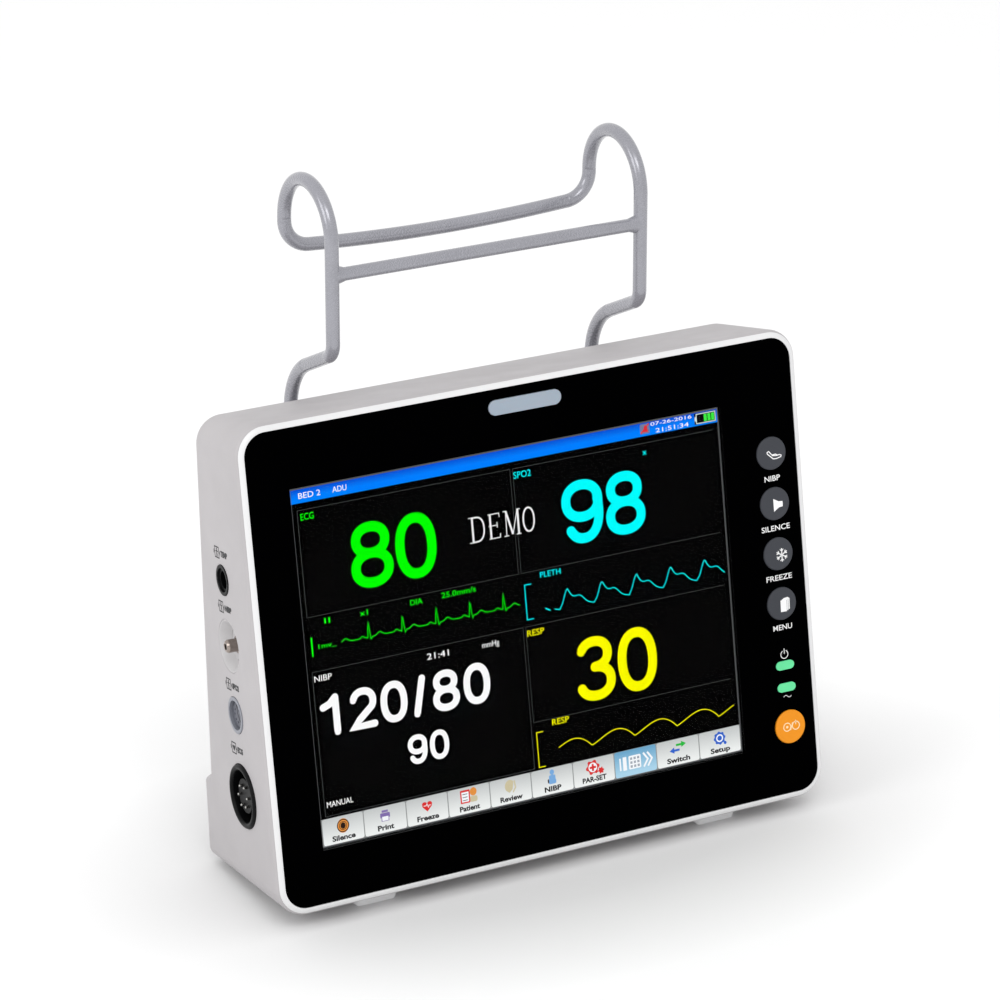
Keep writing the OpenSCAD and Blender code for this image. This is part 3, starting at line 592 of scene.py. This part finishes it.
def breath_trace(left, right, middle, trough, step, height):
    points = []
    x = left
    while x < right:
        phase = ((x - trough) % step) / step
        points.append((x, middle - height + 2 * height * math.sin(phase ** 1.4 * math.pi) ** 0.85))
        x += 0.5
    return points


def bracket_mark(piece, x, low, high, reach, width):
    piece.band([(x + reach, high), (x, high), (x, low), (x + reach, low)], width, round_ends=False)


def screen_frames():
    lines = screen_print("screen_frame_lines", PLATE)
    for x0, x1, y in ((-91, -8.2, 55.4), (-6.9, 74.5, 55.4), (-91, -8.2, 17.6), (-6.9, 74.5, 17.6),
                      (-91, -8.2, -1.9), (-6.9, 74.5, -1.9), (-6.9, 74.5, -36.9), (-91, -8.2, -53.8)):
        lines.box(x0, x1, y - 0.09, y + 0.09)
    for x, y0, y1 in ((-91, 17.6, 55.4), (-8.1, 17.6, 55.4), (-7, 17.6, 55.4), (-91, -53.8, -1.9),
                      (-8.1, -53.8, -1.9), (-7, -36.9, -1.9)):
        lines.box(x - 0.09, x + 0.09, y0, y1)
    lines.done(lit("screen_dim_grey", (0.045, 0.05, 0.05)).material, slot_name="screen_cells")
    rim = screen_print("screen_rim", PLATE)
    rim.outline([(SCREEN_LEFT, SCREEN_LOW), (SCREEN_RIGHT, SCREEN_LOW), (SCREEN_RIGHT, SCREEN_HIGH),
                 (SCREEN_LEFT, SCREEN_HIGH)],
                [[(SCREEN_LEFT + 0.4, SCREEN_LOW + 0.4), (SCREEN_RIGHT - 0.4, SCREEN_LOW + 0.4),
                  (SCREEN_RIGHT - 0.4, SCREEN_HIGH - 0.4), (SCREEN_LEFT + 0.4, SCREEN_HIGH - 0.4)]])
    rim.done(lit("screen_rim_grey", (0.1, 0.105, 0.11)).material, slot_name="screen_cells")


def screen_green():
    piece = screen_print("screen_heart_marks", MARK)
    big_number(piece, (("8", -72.6, -56.2), ("0", -55.1, -39.1)), 23.5, 46.9, 3.6)
    piece.words("ECG", -89.9, -84.9, 51.8, 2.3)
    piece.words("II", -84.6, -82.4, 14.4, 1.9)
    piece.words("x1", -70.8, -67.8, 14.4, 1.9)
    piece.words("DIA", -51.2, -46.5, 14.4, 1.9)
    piece.words("25.0mm/s", -38.9, -25.4, 14.7, 1.9)
    piece.words("1mv_", -87.7, -80.9, 6.0, 1.5)
    piece.band([(-90.1, 3.7), (-90.1, 10.4)], 0.5, round_ends=False)
    piece.band(heart_trace(-78.7, -8.6, 6.4, -68.1, 13.3, 5.9), 0.24)
    piece.done(lit("screen_green", (0.0, 1.0, 0.0)).material, slot_name="screen_cells")


def screen_cyan():
    piece = screen_print("screen_oxygen_marks", MARK)
    big_number(piece, (("9", 11.1, 27.7), ("8", 28.6, 44.7)), 23.9, 46.9, 3.6)
    piece.words("SPO2", -6.9, 0, 51.8, 2.3)
    piece.words("x", 45.3, 46.9, 51.2, 2.1)
    piece.words("PLETH", 0.4, 8.6, 14.7, 2.0)
    bracket_mark(piece, -6.1, 0.6, 13.2, 2.6, 0.3)
    piece.band([(1.6, 3.3), (3.2, 2.4)], 0.4)
    piece.band(pulse_trace(5.2, 75.4, 2.6, 10.9, 14.15, 6.1), 0.26)
    piece.done(lit("screen_cyan", (0.0, 1.0, 1.0)).material, slot_name="screen_cells")


def screen_yellow():
    piece = screen_print("screen_breath_marks", MARK)
    big_number(piece, (("3", 11.4, 27.4), ("0", 28.7, 44.8)), -33.9, -10.4, 3.6)
    piece.words("RESP", -6.6, 0.2, -5.5, 2.2)
    piece.words("RESP", 0.4, 7.2, -39.4, 2.2)
    bracket_mark(piece, -6.2, -53.6, -40.8, 2.6, 0.28)
    piece.band(breath_trace(2.4, 75.3, -47.9, 15.6, 17.6, 1.95), 0.26)
    piece.done(lit("screen_yellow", (1.0, 1.0, 0.0)).material, slot_name="screen_cells")


def screen_white():
    piece = screen_print("screen_pressure_marks", MARK)
    big_number(piece, (("1", -89.4, -82), ("2", -77.9, -67.6), ("0", -66.1, -55.6), ("/", -53.5, -48.1),
                       ("8", -45.7, -35.1), ("0", -33.4, -22.8)), -25.7, -10.8, 2.6)
    big_number(piece, (("9", -57.1, -49.5), ("0", -48.5, -40.9)), -42.4, -31.7, 1.9)
    piece.words("NIBP", -90.4, -83.7, -5.5, 2.1)
    piece.words("21:41", -46.6, -38, -6.1, 2.2)
    piece.words("mmHg", -24.7, -18, -6.1, 2.0)
    piece.words("MANUAL", -90.1, -79.9, -50.7, 2.0)
    piece.words("BED 2", -90, -81.6, 59.4, 2.0)
    piece.words("ADU", -77, -71.6, 59.4, 2.0)
    piece.words("07-26-2016", 49.4, 66.3, 61.1, 1.25)
    piece.words("21:51:34", 51.3, 64.9, 58.4, 1.5)
    piece.done(lit("screen_white", (1.0, 1.0, 1.0)).material, slot_name="screen_cells")


def demo_words():
    """The serif word in the middle: thick stems, thin arms and hairline serifs."""
    piece = screen_print("screen_demo_marks", MARK)
    low, high, thin, thick = 32.0, 40.9, 0.32, 0.75

    def serif(x, y, reach=0.95):
        piece.band([(x - reach, y), (x + reach, y)], thin, round_ends=False)

    piece.band([(-24.6, low), (-24.6, high)], thick, round_ends=False)
    bowl = [(-24.9, high - 0.1)] + arc(-23.1, (low + high) / 2, 3.0, (high - low) / 2 - 0.1, 90, -90, 20, 2.3)
    piece.band(bowl + [(-24.9, low + 0.1)], thick * 0.75, round_ends=False)
    serif(-25.1, low)
    serif(-25.1, high)
    piece.band([(-17.5, low), (-17.5, high)], thick, round_ends=False)
    for y, reach in ((high - 0.1, 4.3), ((low + high) / 2 + 0.2, 3.2), (low + 0.1, 4.3)):
        piece.band([(-18.3, y), (-18.2 + reach, y)], thin, round_ends=False)
    for y, step in ((high, -1.5), (low, 1.5)):
        piece.band([(-14, y), (-13.8, y + step)], thin, round_ends=False)
    piece.band([(-14.9, 35.7), (-14.9, 37.7)], thin, round_ends=False)
    piece.band([(-11.4, low), (-11.2, high)], thin, round_ends=False)
    piece.band([(-11.2, high), (-8.9, low + 0.3)], thick, round_ends=False)
    piece.band([(-8.9, low + 0.3), (-6.6, high)], thin, round_ends=False)
    piece.band([(-6.5, low), (-6.5, high)], thick, round_ends=False)
    serif(-11.4, low)
    serif(-11.6, high, 0.7)
    serif(-6.5, low)
    serif(-6.2, high, 0.7)
    piece.band(arc(-2.3, (low + high) / 2, 2.15, (high - low) / 2 - 0.2, 0, 350, 35, 2.1), 0.6, closed=True)
    piece.done(lit("screen_soft_white", (0.88, 0.88, 0.88)).material, slot_name="screen_cells")


def title_bar():
    bar = screen_print("screen_title_bar", PLATE)
    bar.box(SCREEN_LEFT + 0.4, SCREEN_RIGHT - 0.4, 57.9, 62.7)
    near, far = (SCREEN @ Vector((0, 59.5, 0))).z * MM, (SCREEN @ Vector((0, 62.7, 0))).z * MM
    bar.done(lit("screen_blue", (0.003, 0.058, 0.64), fade=(near, far, (0.0, 0.215, 1.0))).material,
             slot_name="screen_cells")
    cell = screen_print("screen_battery_outline", MARK)
    cell.box(67.4, 76.3, 58.4, 62.4)
    cell.done(lit("screen_black", (0.003, 0.003, 0.004)).material, slot_name="screen_cells")
    rim = screen_print("screen_battery_rim", TOP_MARK)
    rim.band([(68.2, 58.7), (76.0, 58.7), (76.0, 62.1), (68.2, 62.1)], 0.3, closed=True, round_ends=False)
    rim.box(67.5, 68.1, 59.6, 61.2)
    rim.done(lit("screen_pale", (0.7, 0.78, 0.75)).material, slot_name="screen_cells")
    bars = screen_print("screen_battery_cells", TOP_MARK)
    for i in range(3):
        bars.box(71.3 + i * 1.55, 72.5 + i * 1.55, 59.1, 61.7)
    bars.done(lit("screen_cell_green", (0.05, 0.85, 0.06)).material, slot_name="screen_cells")
    bell = screen_print("screen_alarm_off", MARK)
    bell.outline([(46.2, 59.3), (48.2, 59.3), (47.8, 61.2), (47.2, 61.9), (46.6, 61.2)])
    bell.band([(45.3, 59.1), (48.6, 62.1)], 0.45)
    bell.done(lit("screen_red", (0.75, 0.03, 0.04)).material, slot_name="screen_cells")
    clip = screen_print("screen_alarm_box", PLATE)
    clip.low, clip.high = -1.655, -1.652
    clip.box(45.0, 48.9, 58.7, 62.3, 0.5)
    clip.done(lit("screen_steel", (0.18, 0.2, 0.33)).material, slot_name="screen_cells")


CELL_EDGES = (-92.8, -76.6, -59.9, -43.4, -26.6, -9.9, 7.1, 24.1, 41.6, 59.4, 76.8)
CELL_WORDS = (("Silence", 9.0), ("Print", 6.4), ("Freeze", 8.6), ("Patient", 8.0), ("Review", 9.0),
              ("NIBP", 6.8), ("PAR-SET", 9.8), ("", 0), ("Switch", 9.6), ("Setup", 8.2))


def tool_cells():
    plates = screen_print("toolbar_keys", PLATE)
    blue = screen_print("toolbar_key_blue", PLATE)
    words = screen_print("toolbar_words", MARK)
    for i, (word, width) in enumerate(CELL_WORDS):
        left, right = CELL_EDGES[i] + 0.2, CELL_EDGES[i + 1] - 0.2
        target = plates if word else blue
        target.box(left, right, -64.2, -54.7, 0.8)
        if word:
            middle = (left + right) / 2
            words.words(word, middle - width / 2, middle + width / 2, -63.2, 1.75, bold=0.035)
    low, high = (SCREEN @ Vector((0, -63.5, 0))).z * MM, (SCREEN @ Vector((0, -55.5, 0))).z * MM
    plates.done(lit("toolbar_grey", (0.58, 0.6, 0.6), fade=(low, high, (0.88, 0.9, 0.89))).material,
                slot_name="screen_cells")
    blue.done(lit("toolbar_blue", (0.16, 0.4, 0.62), fade=(low, high, (0.42, 0.68, 0.85))).material,
              slot_name="screen_cells")
    words.done(lit("toolbar_ink", (0.012, 0.012, 0.014)).material, slot_name="screen_cells")
    backing = screen_print("toolbar_backing", (-1.695, -1.692))
    backing.box(SCREEN_LEFT + 0.4, SCREEN_RIGHT - 0.4, -64.3, -54.6)
    backing.done(lit("toolbar_gap", (0.3, 0.31, 0.31)).material, slot_name="screen_cells")


def cell_middle(i):
    return (CELL_EDGES[i] + CELL_EDGES[i + 1]) / 2


def star(x, y, r, points=6, depth=0.72):
    """Outline of a gear-like star."""
    outline = []
    for i in range(points * 4):
        angle = math.radians(i * 90 / points)
        reach = r if i % 4 in (0, 1) else r * depth
        outline.append((x + reach * math.cos(angle), y + reach * math.sin(angle)))
    return outline


def tool_icons():
    y = -58.2
    red = screen_print("toolbar_icons_red", MARK)
    white = screen_print("toolbar_icons_white", TOP_MARK)
    blue = screen_print("toolbar_icons_blue", MARK)
    orange = screen_print("toolbar_icons_orange", MARK)
    violet = screen_print("toolbar_icons_violet", MARK)
    green = screen_print("toolbar_icons_green", MARK)
    dark = screen_print("toolbar_icons_dark", TOP_MARK)
    cream = screen_print("toolbar_icons_cream", MARK)
    grid = screen_print("toolbar_icons_grid", (-1.57, -1.55))
    person = screen_print("toolbar_icons_person", MARK)

    x = cell_middle(0)
    orange.disc(x, y, 2.3, 2.6)
    dark.ring(x, y, 2.2, 0.35)
    dark.disc(x, y, 1.0, 1.15)
    dark.ring(x, y, 1.45, 0.22)
    x = cell_middle(1)
    violet.box(x - 1.9, x + 1.9, y - 0.7, y + 1.1, 0.3)
    violet.box(x - 1.2, x + 1.2, y + 1.3, y + 2.1)
    white.box(x - 1.2, x + 1.2, y - 1.7, y - 0.2)
    violet.box(x - 1.5, x + 1.5, y - 1.9, y - 0.9)
    x = cell_middle(2)
    heart = arc(x - 1.0, y + 0.6, 1.05, 1.0, 160, 20, 8) + arc(x + 1.0, y + 0.6, 1.05, 1.0, 160, 20, 8)
    red.outline(heart + [(x + 1.85, y - 0.1), (x, y - 2.0), (x - 1.85, y - 0.1)])
    white.band([(x - 1.3, y + 0.2), (x - 0.4, y + 0.2), (x, y + 0.9), (x + 0.4, y - 0.5), (x + 0.7, y + 0.2),
                (x + 1.3, y + 0.2)], 0.25)
    x = cell_middle(3)
    red.box(x - 3.4, x + 0.4, y - 2.2, y + 2.6, 0.3)
    white.box(x - 2.9, x - 0.1, y - 1.7, y + 1.9)
    for i in range(3):
        dark.box(x - 2.6, x - 0.6, y + 1.0 - i * 1.1, y + 1.25 - i * 1.1)
    orange.disc(x + 1.8, y + 1.5, 1.35, 1.5)
    cream.box(x + 0.3, x + 3.3, y - 2.2, y - 0.1, 0.7)
    x = cell_middle(4)
    cream.outline(arc(x - 0.3, y + 0.3, 2.0, 2.3, 40, 220, 12) + [(x - 0.6, y - 2.1), (x + 0.7, y - 1.0)])
    cream.band([(x + 1.6, y + 1.9), (x + 1.9, y - 0.5), (x + 0.9, y - 2.0)], 0.5)
    x = cell_middle(5)
    person.disc(x, y + 1.9, 0.9, 1.0)
    person.box(x - 1.3, x + 1.3, y - 1.1, y + 0.9, 0.6)
    person.box(x - 1.5, x + 1.5, y - 2.4, y - 0.6, 0.5)
    dark.box(x - 1.9, x - 1.4, y - 1.9, y - 0.5)
    x = cell_middle(6)
    red.outline(star(x - 0.4, y + 0.2, 2.8, 6, 0.78))
    red.outline(star(x + 2.9, y - 1.5, 1.3, 6, 0.7))
    white.disc(x - 0.4, y + 0.2, 1.75)
    red_top = screen_print("toolbar_icons_cross", (-1.57, -1.55))
    red_top.box(x - 1.7, x + 0.9, y - 0.2, y + 0.6)
    red_top.box(x - 0.8, x, y - 1.1, y + 1.5)
    x = cell_middle(7)
    middle = y - 1.25
    white.box(x - 6.7, x - 6.1, middle - 2.3, middle + 2.3)
    white.box(x - 5.3, x - 3.8, middle - 2.5, middle + 2.5)
    white.box(x - 2.9, x + 2.1, middle - 2.5, middle + 2.5, 0.5)
    for i in range(3):
        for j in range(3):
            grid.box(x - 2.3 + i * 1.45, x - 1.4 + i * 1.45, middle - 1.95 + j * 1.45, middle - 1.05 + j * 1.45)
    for step in (0, 1.7):
        white.band([(x + 3.2 + step, middle + 2.6), (x + 5.0 + step, middle), (x + 3.2 + step, middle - 2.6)], 0.7,
                   round_ends=False)
    x = cell_middle(8)
    green.box(x - 0.7, x + 1.9, y + 0.9, y + 1.7)
    green.outline([(x + 1.5, y + 0.2), (x + 3.5, y + 1.3), (x + 1.5, y + 2.5)])
    blue.box(x - 1.9, x + 0.7, y - 1.0, y - 0.2)
    blue.outline([(x - 1.5, y + 0.6), (x - 3.5, y - 0.6), (x - 1.5, y - 1.7)])
    x = cell_middle(9)
    blue.outline(star(x, y + 0.2, 2.5, 8, 0.86))
    white.ring(x, y + 0.2, 1.2, 0.5)
    blue.disc(x + 2.2, y - 1.9, 0.6)

    for piece, colour in ((red, (0.72, 0.03, 0.03)), (white, (0.95, 0.97, 1.0)), (blue, (0.03, 0.13, 0.62)),
                          (orange, (0.8, 0.3, 0.06)), (violet, (0.23, 0.16, 0.42)), (green, (0.02, 0.5, 0.05)),
                          (dark, (0.03, 0.015, 0.01)), (cream, (0.62, 0.55, 0.36)), (red_top, (0.72, 0.03, 0.03)),
                          (grid, (0.38, 0.42, 0.48)), (person, (0.2, 0.42, 0.75))):
        piece.done(lit(piece.name + "_light", colour).material, slot_name="screen_cells")


screen_frames()
screen_green()
screen_cyan()
screen_yellow()
screen_white()
demo_words()
title_bar()
tool_cells()
tool_icons()


# ---------------------------------------------------------------- front panel marks and key symbols

KEY_X = 98.0
KEY_UP = {"key_cuff": 42.7, "key_silence": 24.05, "key_freeze": 5.4, "key_menu": -13.25}
POWER_UP = -59.6
PRINTED = (0.0, 0.02)
KEY_FACE = (0.5, 0.53)


def panel_words():
    piece = Print("panel_words", FACE, *PRINTED)
    for text, width, up in (("NIBP", 6.5, 33.4), ("SILENCE", 11.9, 15.0), ("FREEZE", 10.8, -3.5),
                            ("MENU", 8.0, -22.1)):
        piece.words(text, 97.8 - width / 2, 97.8 + width / 2, up - 0.95, 1.95, bold=0.01)
    piece.band(arc(97.7, -32.3, 1.5, 1.5, 120, 420, 26), 0.28)
    piece.band([(97.7, -32.0), (97.7, -30.2)], 0.28)
    wave = [(96.2 + i * 0.2, -48.1 + 0.42 * math.sin(i / 16 * 2 * math.pi)) for i in range(17)]
    piece.band(wave, 0.2)
    piece.done(ink("panel_ink", (0.8, 0.8, 0.8)).material, slot_name="panel_black")


def key_symbols():
    white = ink("key_ink", (0.88, 0.88, 0.88))
    x = KEY_X + 1.3

    cuff = Print("key_cuff_symbol", FACE, *KEY_FACE)
    y = KEY_UP["key_cuff"]
    arm = [(x - 3.2, y + 0.6), (x - 2.5, y + 0.9), (x - 1.0, y - 0.9), (x + 0.7, y - 1.1), (x + 1.9, y - 0.9),
           (x + 2.6, y - 1.3), (x + 2.4, y - 1.8), (x + 0.6, y - 2.2), (x - 0.8, y - 2.1), (x - 1.8, y - 1.2),
           (x - 3.2, y + 0.1)]
    cuff.band(arm, 0.34, closed=True)
    cuff.band([(x - 1.2, y - 0.6), (x + 0.2, y - 0.5), (x + 0.9, y - 0.9)], 0.34)
    cuff.done(white.material, "key_cuff", "key_grey")

    silence = Print("key_silence_symbol", FACE, *KEY_FACE)
    y = KEY_UP["key_silence"] - 0.5
    silence.outline([(x - 2.0, y - 2.4), (x + 0.1, y - 1.1), (x + 1.8, y - 0.9), (x + 1.8, y + 1.0),
                     (x + 0.1, y + 1.2), (x - 2.0, y + 2.4)])
    silence.done(white.material, "key_silence", "key_grey")

    freeze = Print("key_freeze_symbol", FACE, *KEY_FACE)
    y = KEY_UP["key_freeze"] - 0.6
    for i in range(6):
        angle = math.radians(90 + i * 60)
        c, s = math.cos(angle), math.sin(angle)
        freeze.band([(x, y), (x + 2.3 * c, y + 2.3 * s)], 0.42)
        for side in (-1, 1):
            spread = angle + side * math.radians(42)
            mid = (x + 1.35 * c, y + 1.35 * s)
            freeze.band([mid, (mid[0] + 0.95 * math.cos(spread), mid[1] + 0.95 * math.sin(spread))], 0.3)
    freeze.done(white.material, "key_freeze", "key_grey")

    menu = Print("key_menu_symbol", FACE, *KEY_FACE)
    y = KEY_UP["key_menu"] - 0.5
    for i in range(3):
        left, low = x - 2.1 + i * 0.62, y - 2.5 + i * 0.32
        menu.low, menu.high = 0.5 + (2 - i) * 0.03, 0.52 + (2 - i) * 0.03
        menu.outline([(left, low), (left + 2.6, low - 0.1), (left + 2.75, low + 3.9), (left + 2.0, low + 4.5),
                      (left + 0.1, low + 4.3)])
    menu.done(white.material, "key_menu", "key_grey")
    folds = Print("key_menu_folds", FACE, 0.585, 0.6)
    for i in range(2):
        left, low = x + 0.5 + i * 0.62, y - 2.4 + i * 0.32
        folds.band([(left, low), (left + 0.15, low + 3.9)], 0.12)
    folds.done(ink("key_fold_ink", (0.1, 0.1, 0.12)).material, "key_menu", "key_grey")

    power = Print("key_power_symbol", FACE, *KEY_FACE)
    x, y = KEY_X + 0.3, POWER_UP + 0.1
    for side in (-1, 1):
        power.ring(x + side * 1.85, y, 1.5, 0.36)
    power.disc(x - 1.85, y, 0.5)
    power.band([(x + 1.85, y + 0.5), (x + 1.85, y + 1.9)], 0.36)
    power.band([(x - 0.45, y - 1.3), (x + 0.45, y + 1.3)], 0.3)
    power.done(ink("power_ink", (0.92, 0.7, 0.42)).material, "key_power", "key_orange")


panel_words()
key_symbols()


# ---------------------------------------------------------------- side labels

def patient_box(piece, x, y, heart):
    """A person or heart in a square, between two paddles."""
    r = 1.9
    piece.band([(x - r, y - r), (x + r, y - r), (x + r, y + r), (x - r, y + r)], 0.42, closed=True)
    for side in (-1, 1):
        piece.band([(x + side * (r + 0.9), y + 0.6), (x + side * (r + 0.9), y - 0.6)], 0.34)
        piece.band([(x + side * (r + 0.25), y), (x + side * (r + 0.8), y)], 0.26)
    if heart:
        lobes = arc(x - 0.62, y + 0.35, 0.64, 0.62, 180, 0, 8) + arc(x + 0.62, y + 0.35, 0.64, 0.62, 180, 0, 8)
        piece.outline(lobes + [(x, y - 1.3)])
    else:
        piece.disc(x, y + 1.15, 0.4)
        piece.band([(x - 1.05, y + 0.35), (x + 1.05, y + 0.35)], 0.32)
        piece.band([(x, y + 0.6), (x, y - 0.4)], 0.62)
        for side in (-1, 1):
            piece.band([(x + side * 0.15, y - 0.35), (x + side * 0.5, y - 1.5)], 0.32)


def side_labels():
    piece_ink = ink("label_ink", (0.012, 0.012, 0.014))
    for name, text, up, toward, heart in (("temp", "TEMP", 39.6, 0.2, False), ("cuff", "NIBP", 20.0, -0.7, False),
                                          ("oximeter", "SPO2", -7.9, -0.8, False), ("lead", "ECG", -31.2, -1.7, True)):
        piece = Print("label_" + name, side_place(up), 0.0, 0.03)
        patient_box(piece, toward - 3.3, 0, heart)
        width = 5.0 if text == "ECG" else 6.3
        piece.words(text, toward, toward + width, -0.9, 1.85, slant=0.15, bold=0.07)
        piece.done(piece_ink.material, slot_name="shell_grey")


def socket_details():
    """Painted shade: the dark keyway band across the oximeter core, and dark arcs where the cuff dish's wall meets its
    floor.
    """
    # Painted shade: a flat dark band drawn where the keyway slot lies in shade.
    keyway = Print("oximeter_keyway_shade", side_place(-18.4), -0.7, -0.67)
    keyway.band([(0.2, 4.0), (0.0, 0.7), (1.7, -1.5)], 0.6)
    keyway.done(ink("keyway_painted_shade", (0.03, 0.03, 0.04)).material, slot_name="core_grey")
    # Painted shade: dark arcs on the dish floor along its edge, only on the sides where the wall shades it.
    dish_shade = Print("cuff_dish_painted_shade", side_place(6.5), -3.7, -3.67)
    for start, end in ((100, 172), (250, 335)):
        dish_shade.band(arc(0, 0, 6.3, 6.3, start, end), 0.22)
    dish_shade.done(ink("dish_painted_shade_ink", (0.16, 0.15, 0.15)).material, slot_name="dish_white")


side_labels()
socket_details()


# ---------------------------------------------------------------- rear marks

def rear_marks():
    """Plain printed symbols over the rear sockets and the battery door."""
    piece = Print("rear_symbols", REAR, 0.0, 0.03)
    up = -52
    x = -72
    piece.band([(x - 2.4 + i * 0.3, up + 0.8 * math.sin(i / 16 * 2 * math.pi)) for i in range(17)], 0.35)
    x = -98
    piece.band([(x, up + 1.8), (x, up - 0.2)], 0.35)
    for i in range(3):
        piece.band([(x - 1.8 + i * 0.6, up - 0.3 - i * 0.7), (x + 1.8 - i * 0.6, up - 0.3 - i * 0.7)], 0.35)
    x = -36
    for dx, dy in ((0, 1.2), (-1.8, -1.2), (1.8, -1.2)):
        piece.band([(x + dx - 0.7, up + dy - 0.5), (x + dx + 0.7, up + dy - 0.5), (x + dx + 0.7, up + dy + 0.5),
                    (x + dx - 0.7, up + dy + 0.5)], 0.3, closed=True)
    piece.band([(x, up + 0.6), (x, up)], 0.3)
    piece.band([(x - 1.8, up - 0.6), (x - 1.8, up), (x + 1.8, up), (x + 1.8, up - 0.6)], 0.3)
    x = 52
    piece.band([(x - 2.6, up - 1.2), (x + 2.2, up - 1.2), (x + 2.2, up + 1.2), (x - 2.6, up + 1.2)], 0.35,
               closed=True)
    piece.box(x + 2.5, x + 3.0, up - 0.6, up + 0.6)
    piece.done(ink("rear_ink", (0.03, 0.03, 0.033)).material, slot_name="shell_grey")


rear_marks()


# ---------------------------------------------------------------- hook welds

def hook_welds():
    """A small weld bead where each end of the crossbar meets its leg."""
    material = flake_paint("weld_silver", (0.29, 0.29, 0.322)).material
    for side, name in ((-1, "hook_weld_left"), (1, "hook_weld_right")):
        verts, faces = [], []
        around, along = 32, 10
        for i in range(along + 1):
            t = i / along
            tall = 2.41 + 0.95 * (1 - t) ** 2.6
            for j in range(around):
                angle = 2 * math.pi * j / around
                across = 2.41 * math.cos(angle)
                leg_side = math.sqrt(2.45 ** 2 - across ** 2)
                reach = leg_side * (1 - t) + (2.3 + 2.8 * t) * t
                verts.append(Vector((side * (61.3 - reach), 19.5 + across, 217.7 + tall * math.sin(angle))) * MM)
        for i in range(along):
            for j in range(around):
                a, b = i * around + j, i * around + (j + 1) % around
                quad = (a, b, b + around, a + around)
                faces.append(quad if side < 0 else tuple(reversed(quad)))
        inner = len(verts)
        verts += [Vector((v.x, 0.0195 + (v.y - 0.0195) * 0.97, 0.2177 + (v.z - 0.2177) * 0.97))
                  for v in verts[:around] + verts[-around:]]
        for j in range(around):
            k = (j + 1) % around
            strips = ((j, inner + j, inner + k, k),
                      (inner + j, inner + around + j, inner + around + k, inner + k),
                      (inner + around + j, along * around + j, along * around + k, inner + around + k))
            for quad in strips:
                faces.append(quad if side < 0 else tuple(reversed(quad)))
        mesh = bpy.data.meshes.new(name)
        mesh.from_pydata(verts, [], faces)
        mesh.validate()
        mesh.materials.append(material)
        for face in mesh.polygons:
            face.use_smooth = True
        mesh.set_sharp_from_angle(angle=math.radians(50))
        bead = bpy.data.objects.new(name, mesh)
        bpy.context.scene.collection.objects.link(bead)
        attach(bead, "hook")


hook_welds()


# ---------------------------------------------------------------- studio

def floor():
    """A wide pale sheet, a little greyer round the monitor as a painted shadow, so that a shadow shows there in the
    strong light.
    """
    half = 12.0
    mesh = bpy.data.meshes.new("floor")
    mesh.from_pydata([(-half, -half, 0), (half, -half, 0), (half, half, 0), (-half, half, 0)], [], [(0, 1, 2, 3)])
    look = plastic("floor_paper_painted_shadow", (0.95, 0.95, 0.95), rough=0.7, grain=700, depth=0.02, gloss=0.1)
    # Painted shadow: the sheet's colour falls from 0.95 to 0.76 inside an ellipse round the monitor, wider side to
    # side than front to back.
    shadow_shape = look.add("ShaderNodeMapping")
    shadow_shape.inputs["Scale"].default_value = (1, 1.8, 1)
    look.link(look.coords, shadow_shape.inputs["Vector"])
    distance = look.add("ShaderNodeVectorMath", operation="LENGTH")
    look.link(shadow_shape.outputs["Vector"], distance.inputs[0])
    outwards = look.spread(distance.outputs["Value"], 0, 1, 0.1, 0.21)
    look.link(look.blend(outwards, (0.76, 0.76, 0.76), (0.95, 0.95, 0.95)), look.shader.inputs["Base Color"])
    mesh.materials.append(look.material)
    sheet = bpy.data.objects.new("floor", mesh)
    bpy.context.scene.collection.objects.link(sheet)


def softbox(name, place, aim, size, power):
    light = bpy.data.lights.new(name, "AREA")
    light.shape = "RECTANGLE"
    light.size, light.size_y = size
    light.energy = power
    lamp = bpy.data.objects.new(name, light)
    bpy.context.scene.collection.objects.link(lamp)
    lamp.location = place
    lamp.rotation_mode = "QUATERNION"
    lamp.rotation_quaternion = (Vector(aim) - Vector(place)).to_track_quat("-Z", "Y")


def studio():
    world = bpy.data.worlds.new("studio")
    world.use_nodes = True
    backdrop = world.node_tree.nodes["Background"]
    backdrop.inputs["Color"].default_value = (1, 1, 1, 1)
    backdrop.inputs["Strength"].default_value = 0.97
    bpy.context.scene.world = world
    softbox("key_light", (-0.5, -1.4, 1.8), (0, 0, 0.1), (1.2, 0.8), 10.9)
    softbox("left_light", (-1.6, -0.1, 0.9), (0, 0, 0.1), (1.0, 0.8), 6)
    bpy.context.scene.view_settings.view_transform = "Standard"
    bpy.context.scene.view_settings.look = "None"


def photo_camera():
    """The camera at the picture's angle, found from the screen's corners."""
    centre = Vector((-0.7293, -1.3257, 0.7217))
    right = Vector((0.87789, -0.47886, 0.0))
    up = Vector((0.17433, 0.31961, 0.93137))
    back = right.cross(up)
    data = bpy.data.cameras.new("camera")
    data.sensor_width = 36
    data.lens = 165.6
    data.clip_start, data.clip_end = 0.1, 40
    camera = bpy.data.objects.new("camera", data)
    bpy.context.scene.collection.objects.link(camera)
    turned = Matrix((right, up, back)).transposed().to_4x4()
    turned.translation = centre
    camera.matrix_world = turned
    bpy.context.scene.camera = camera


floor()
studio()
photo_camera()
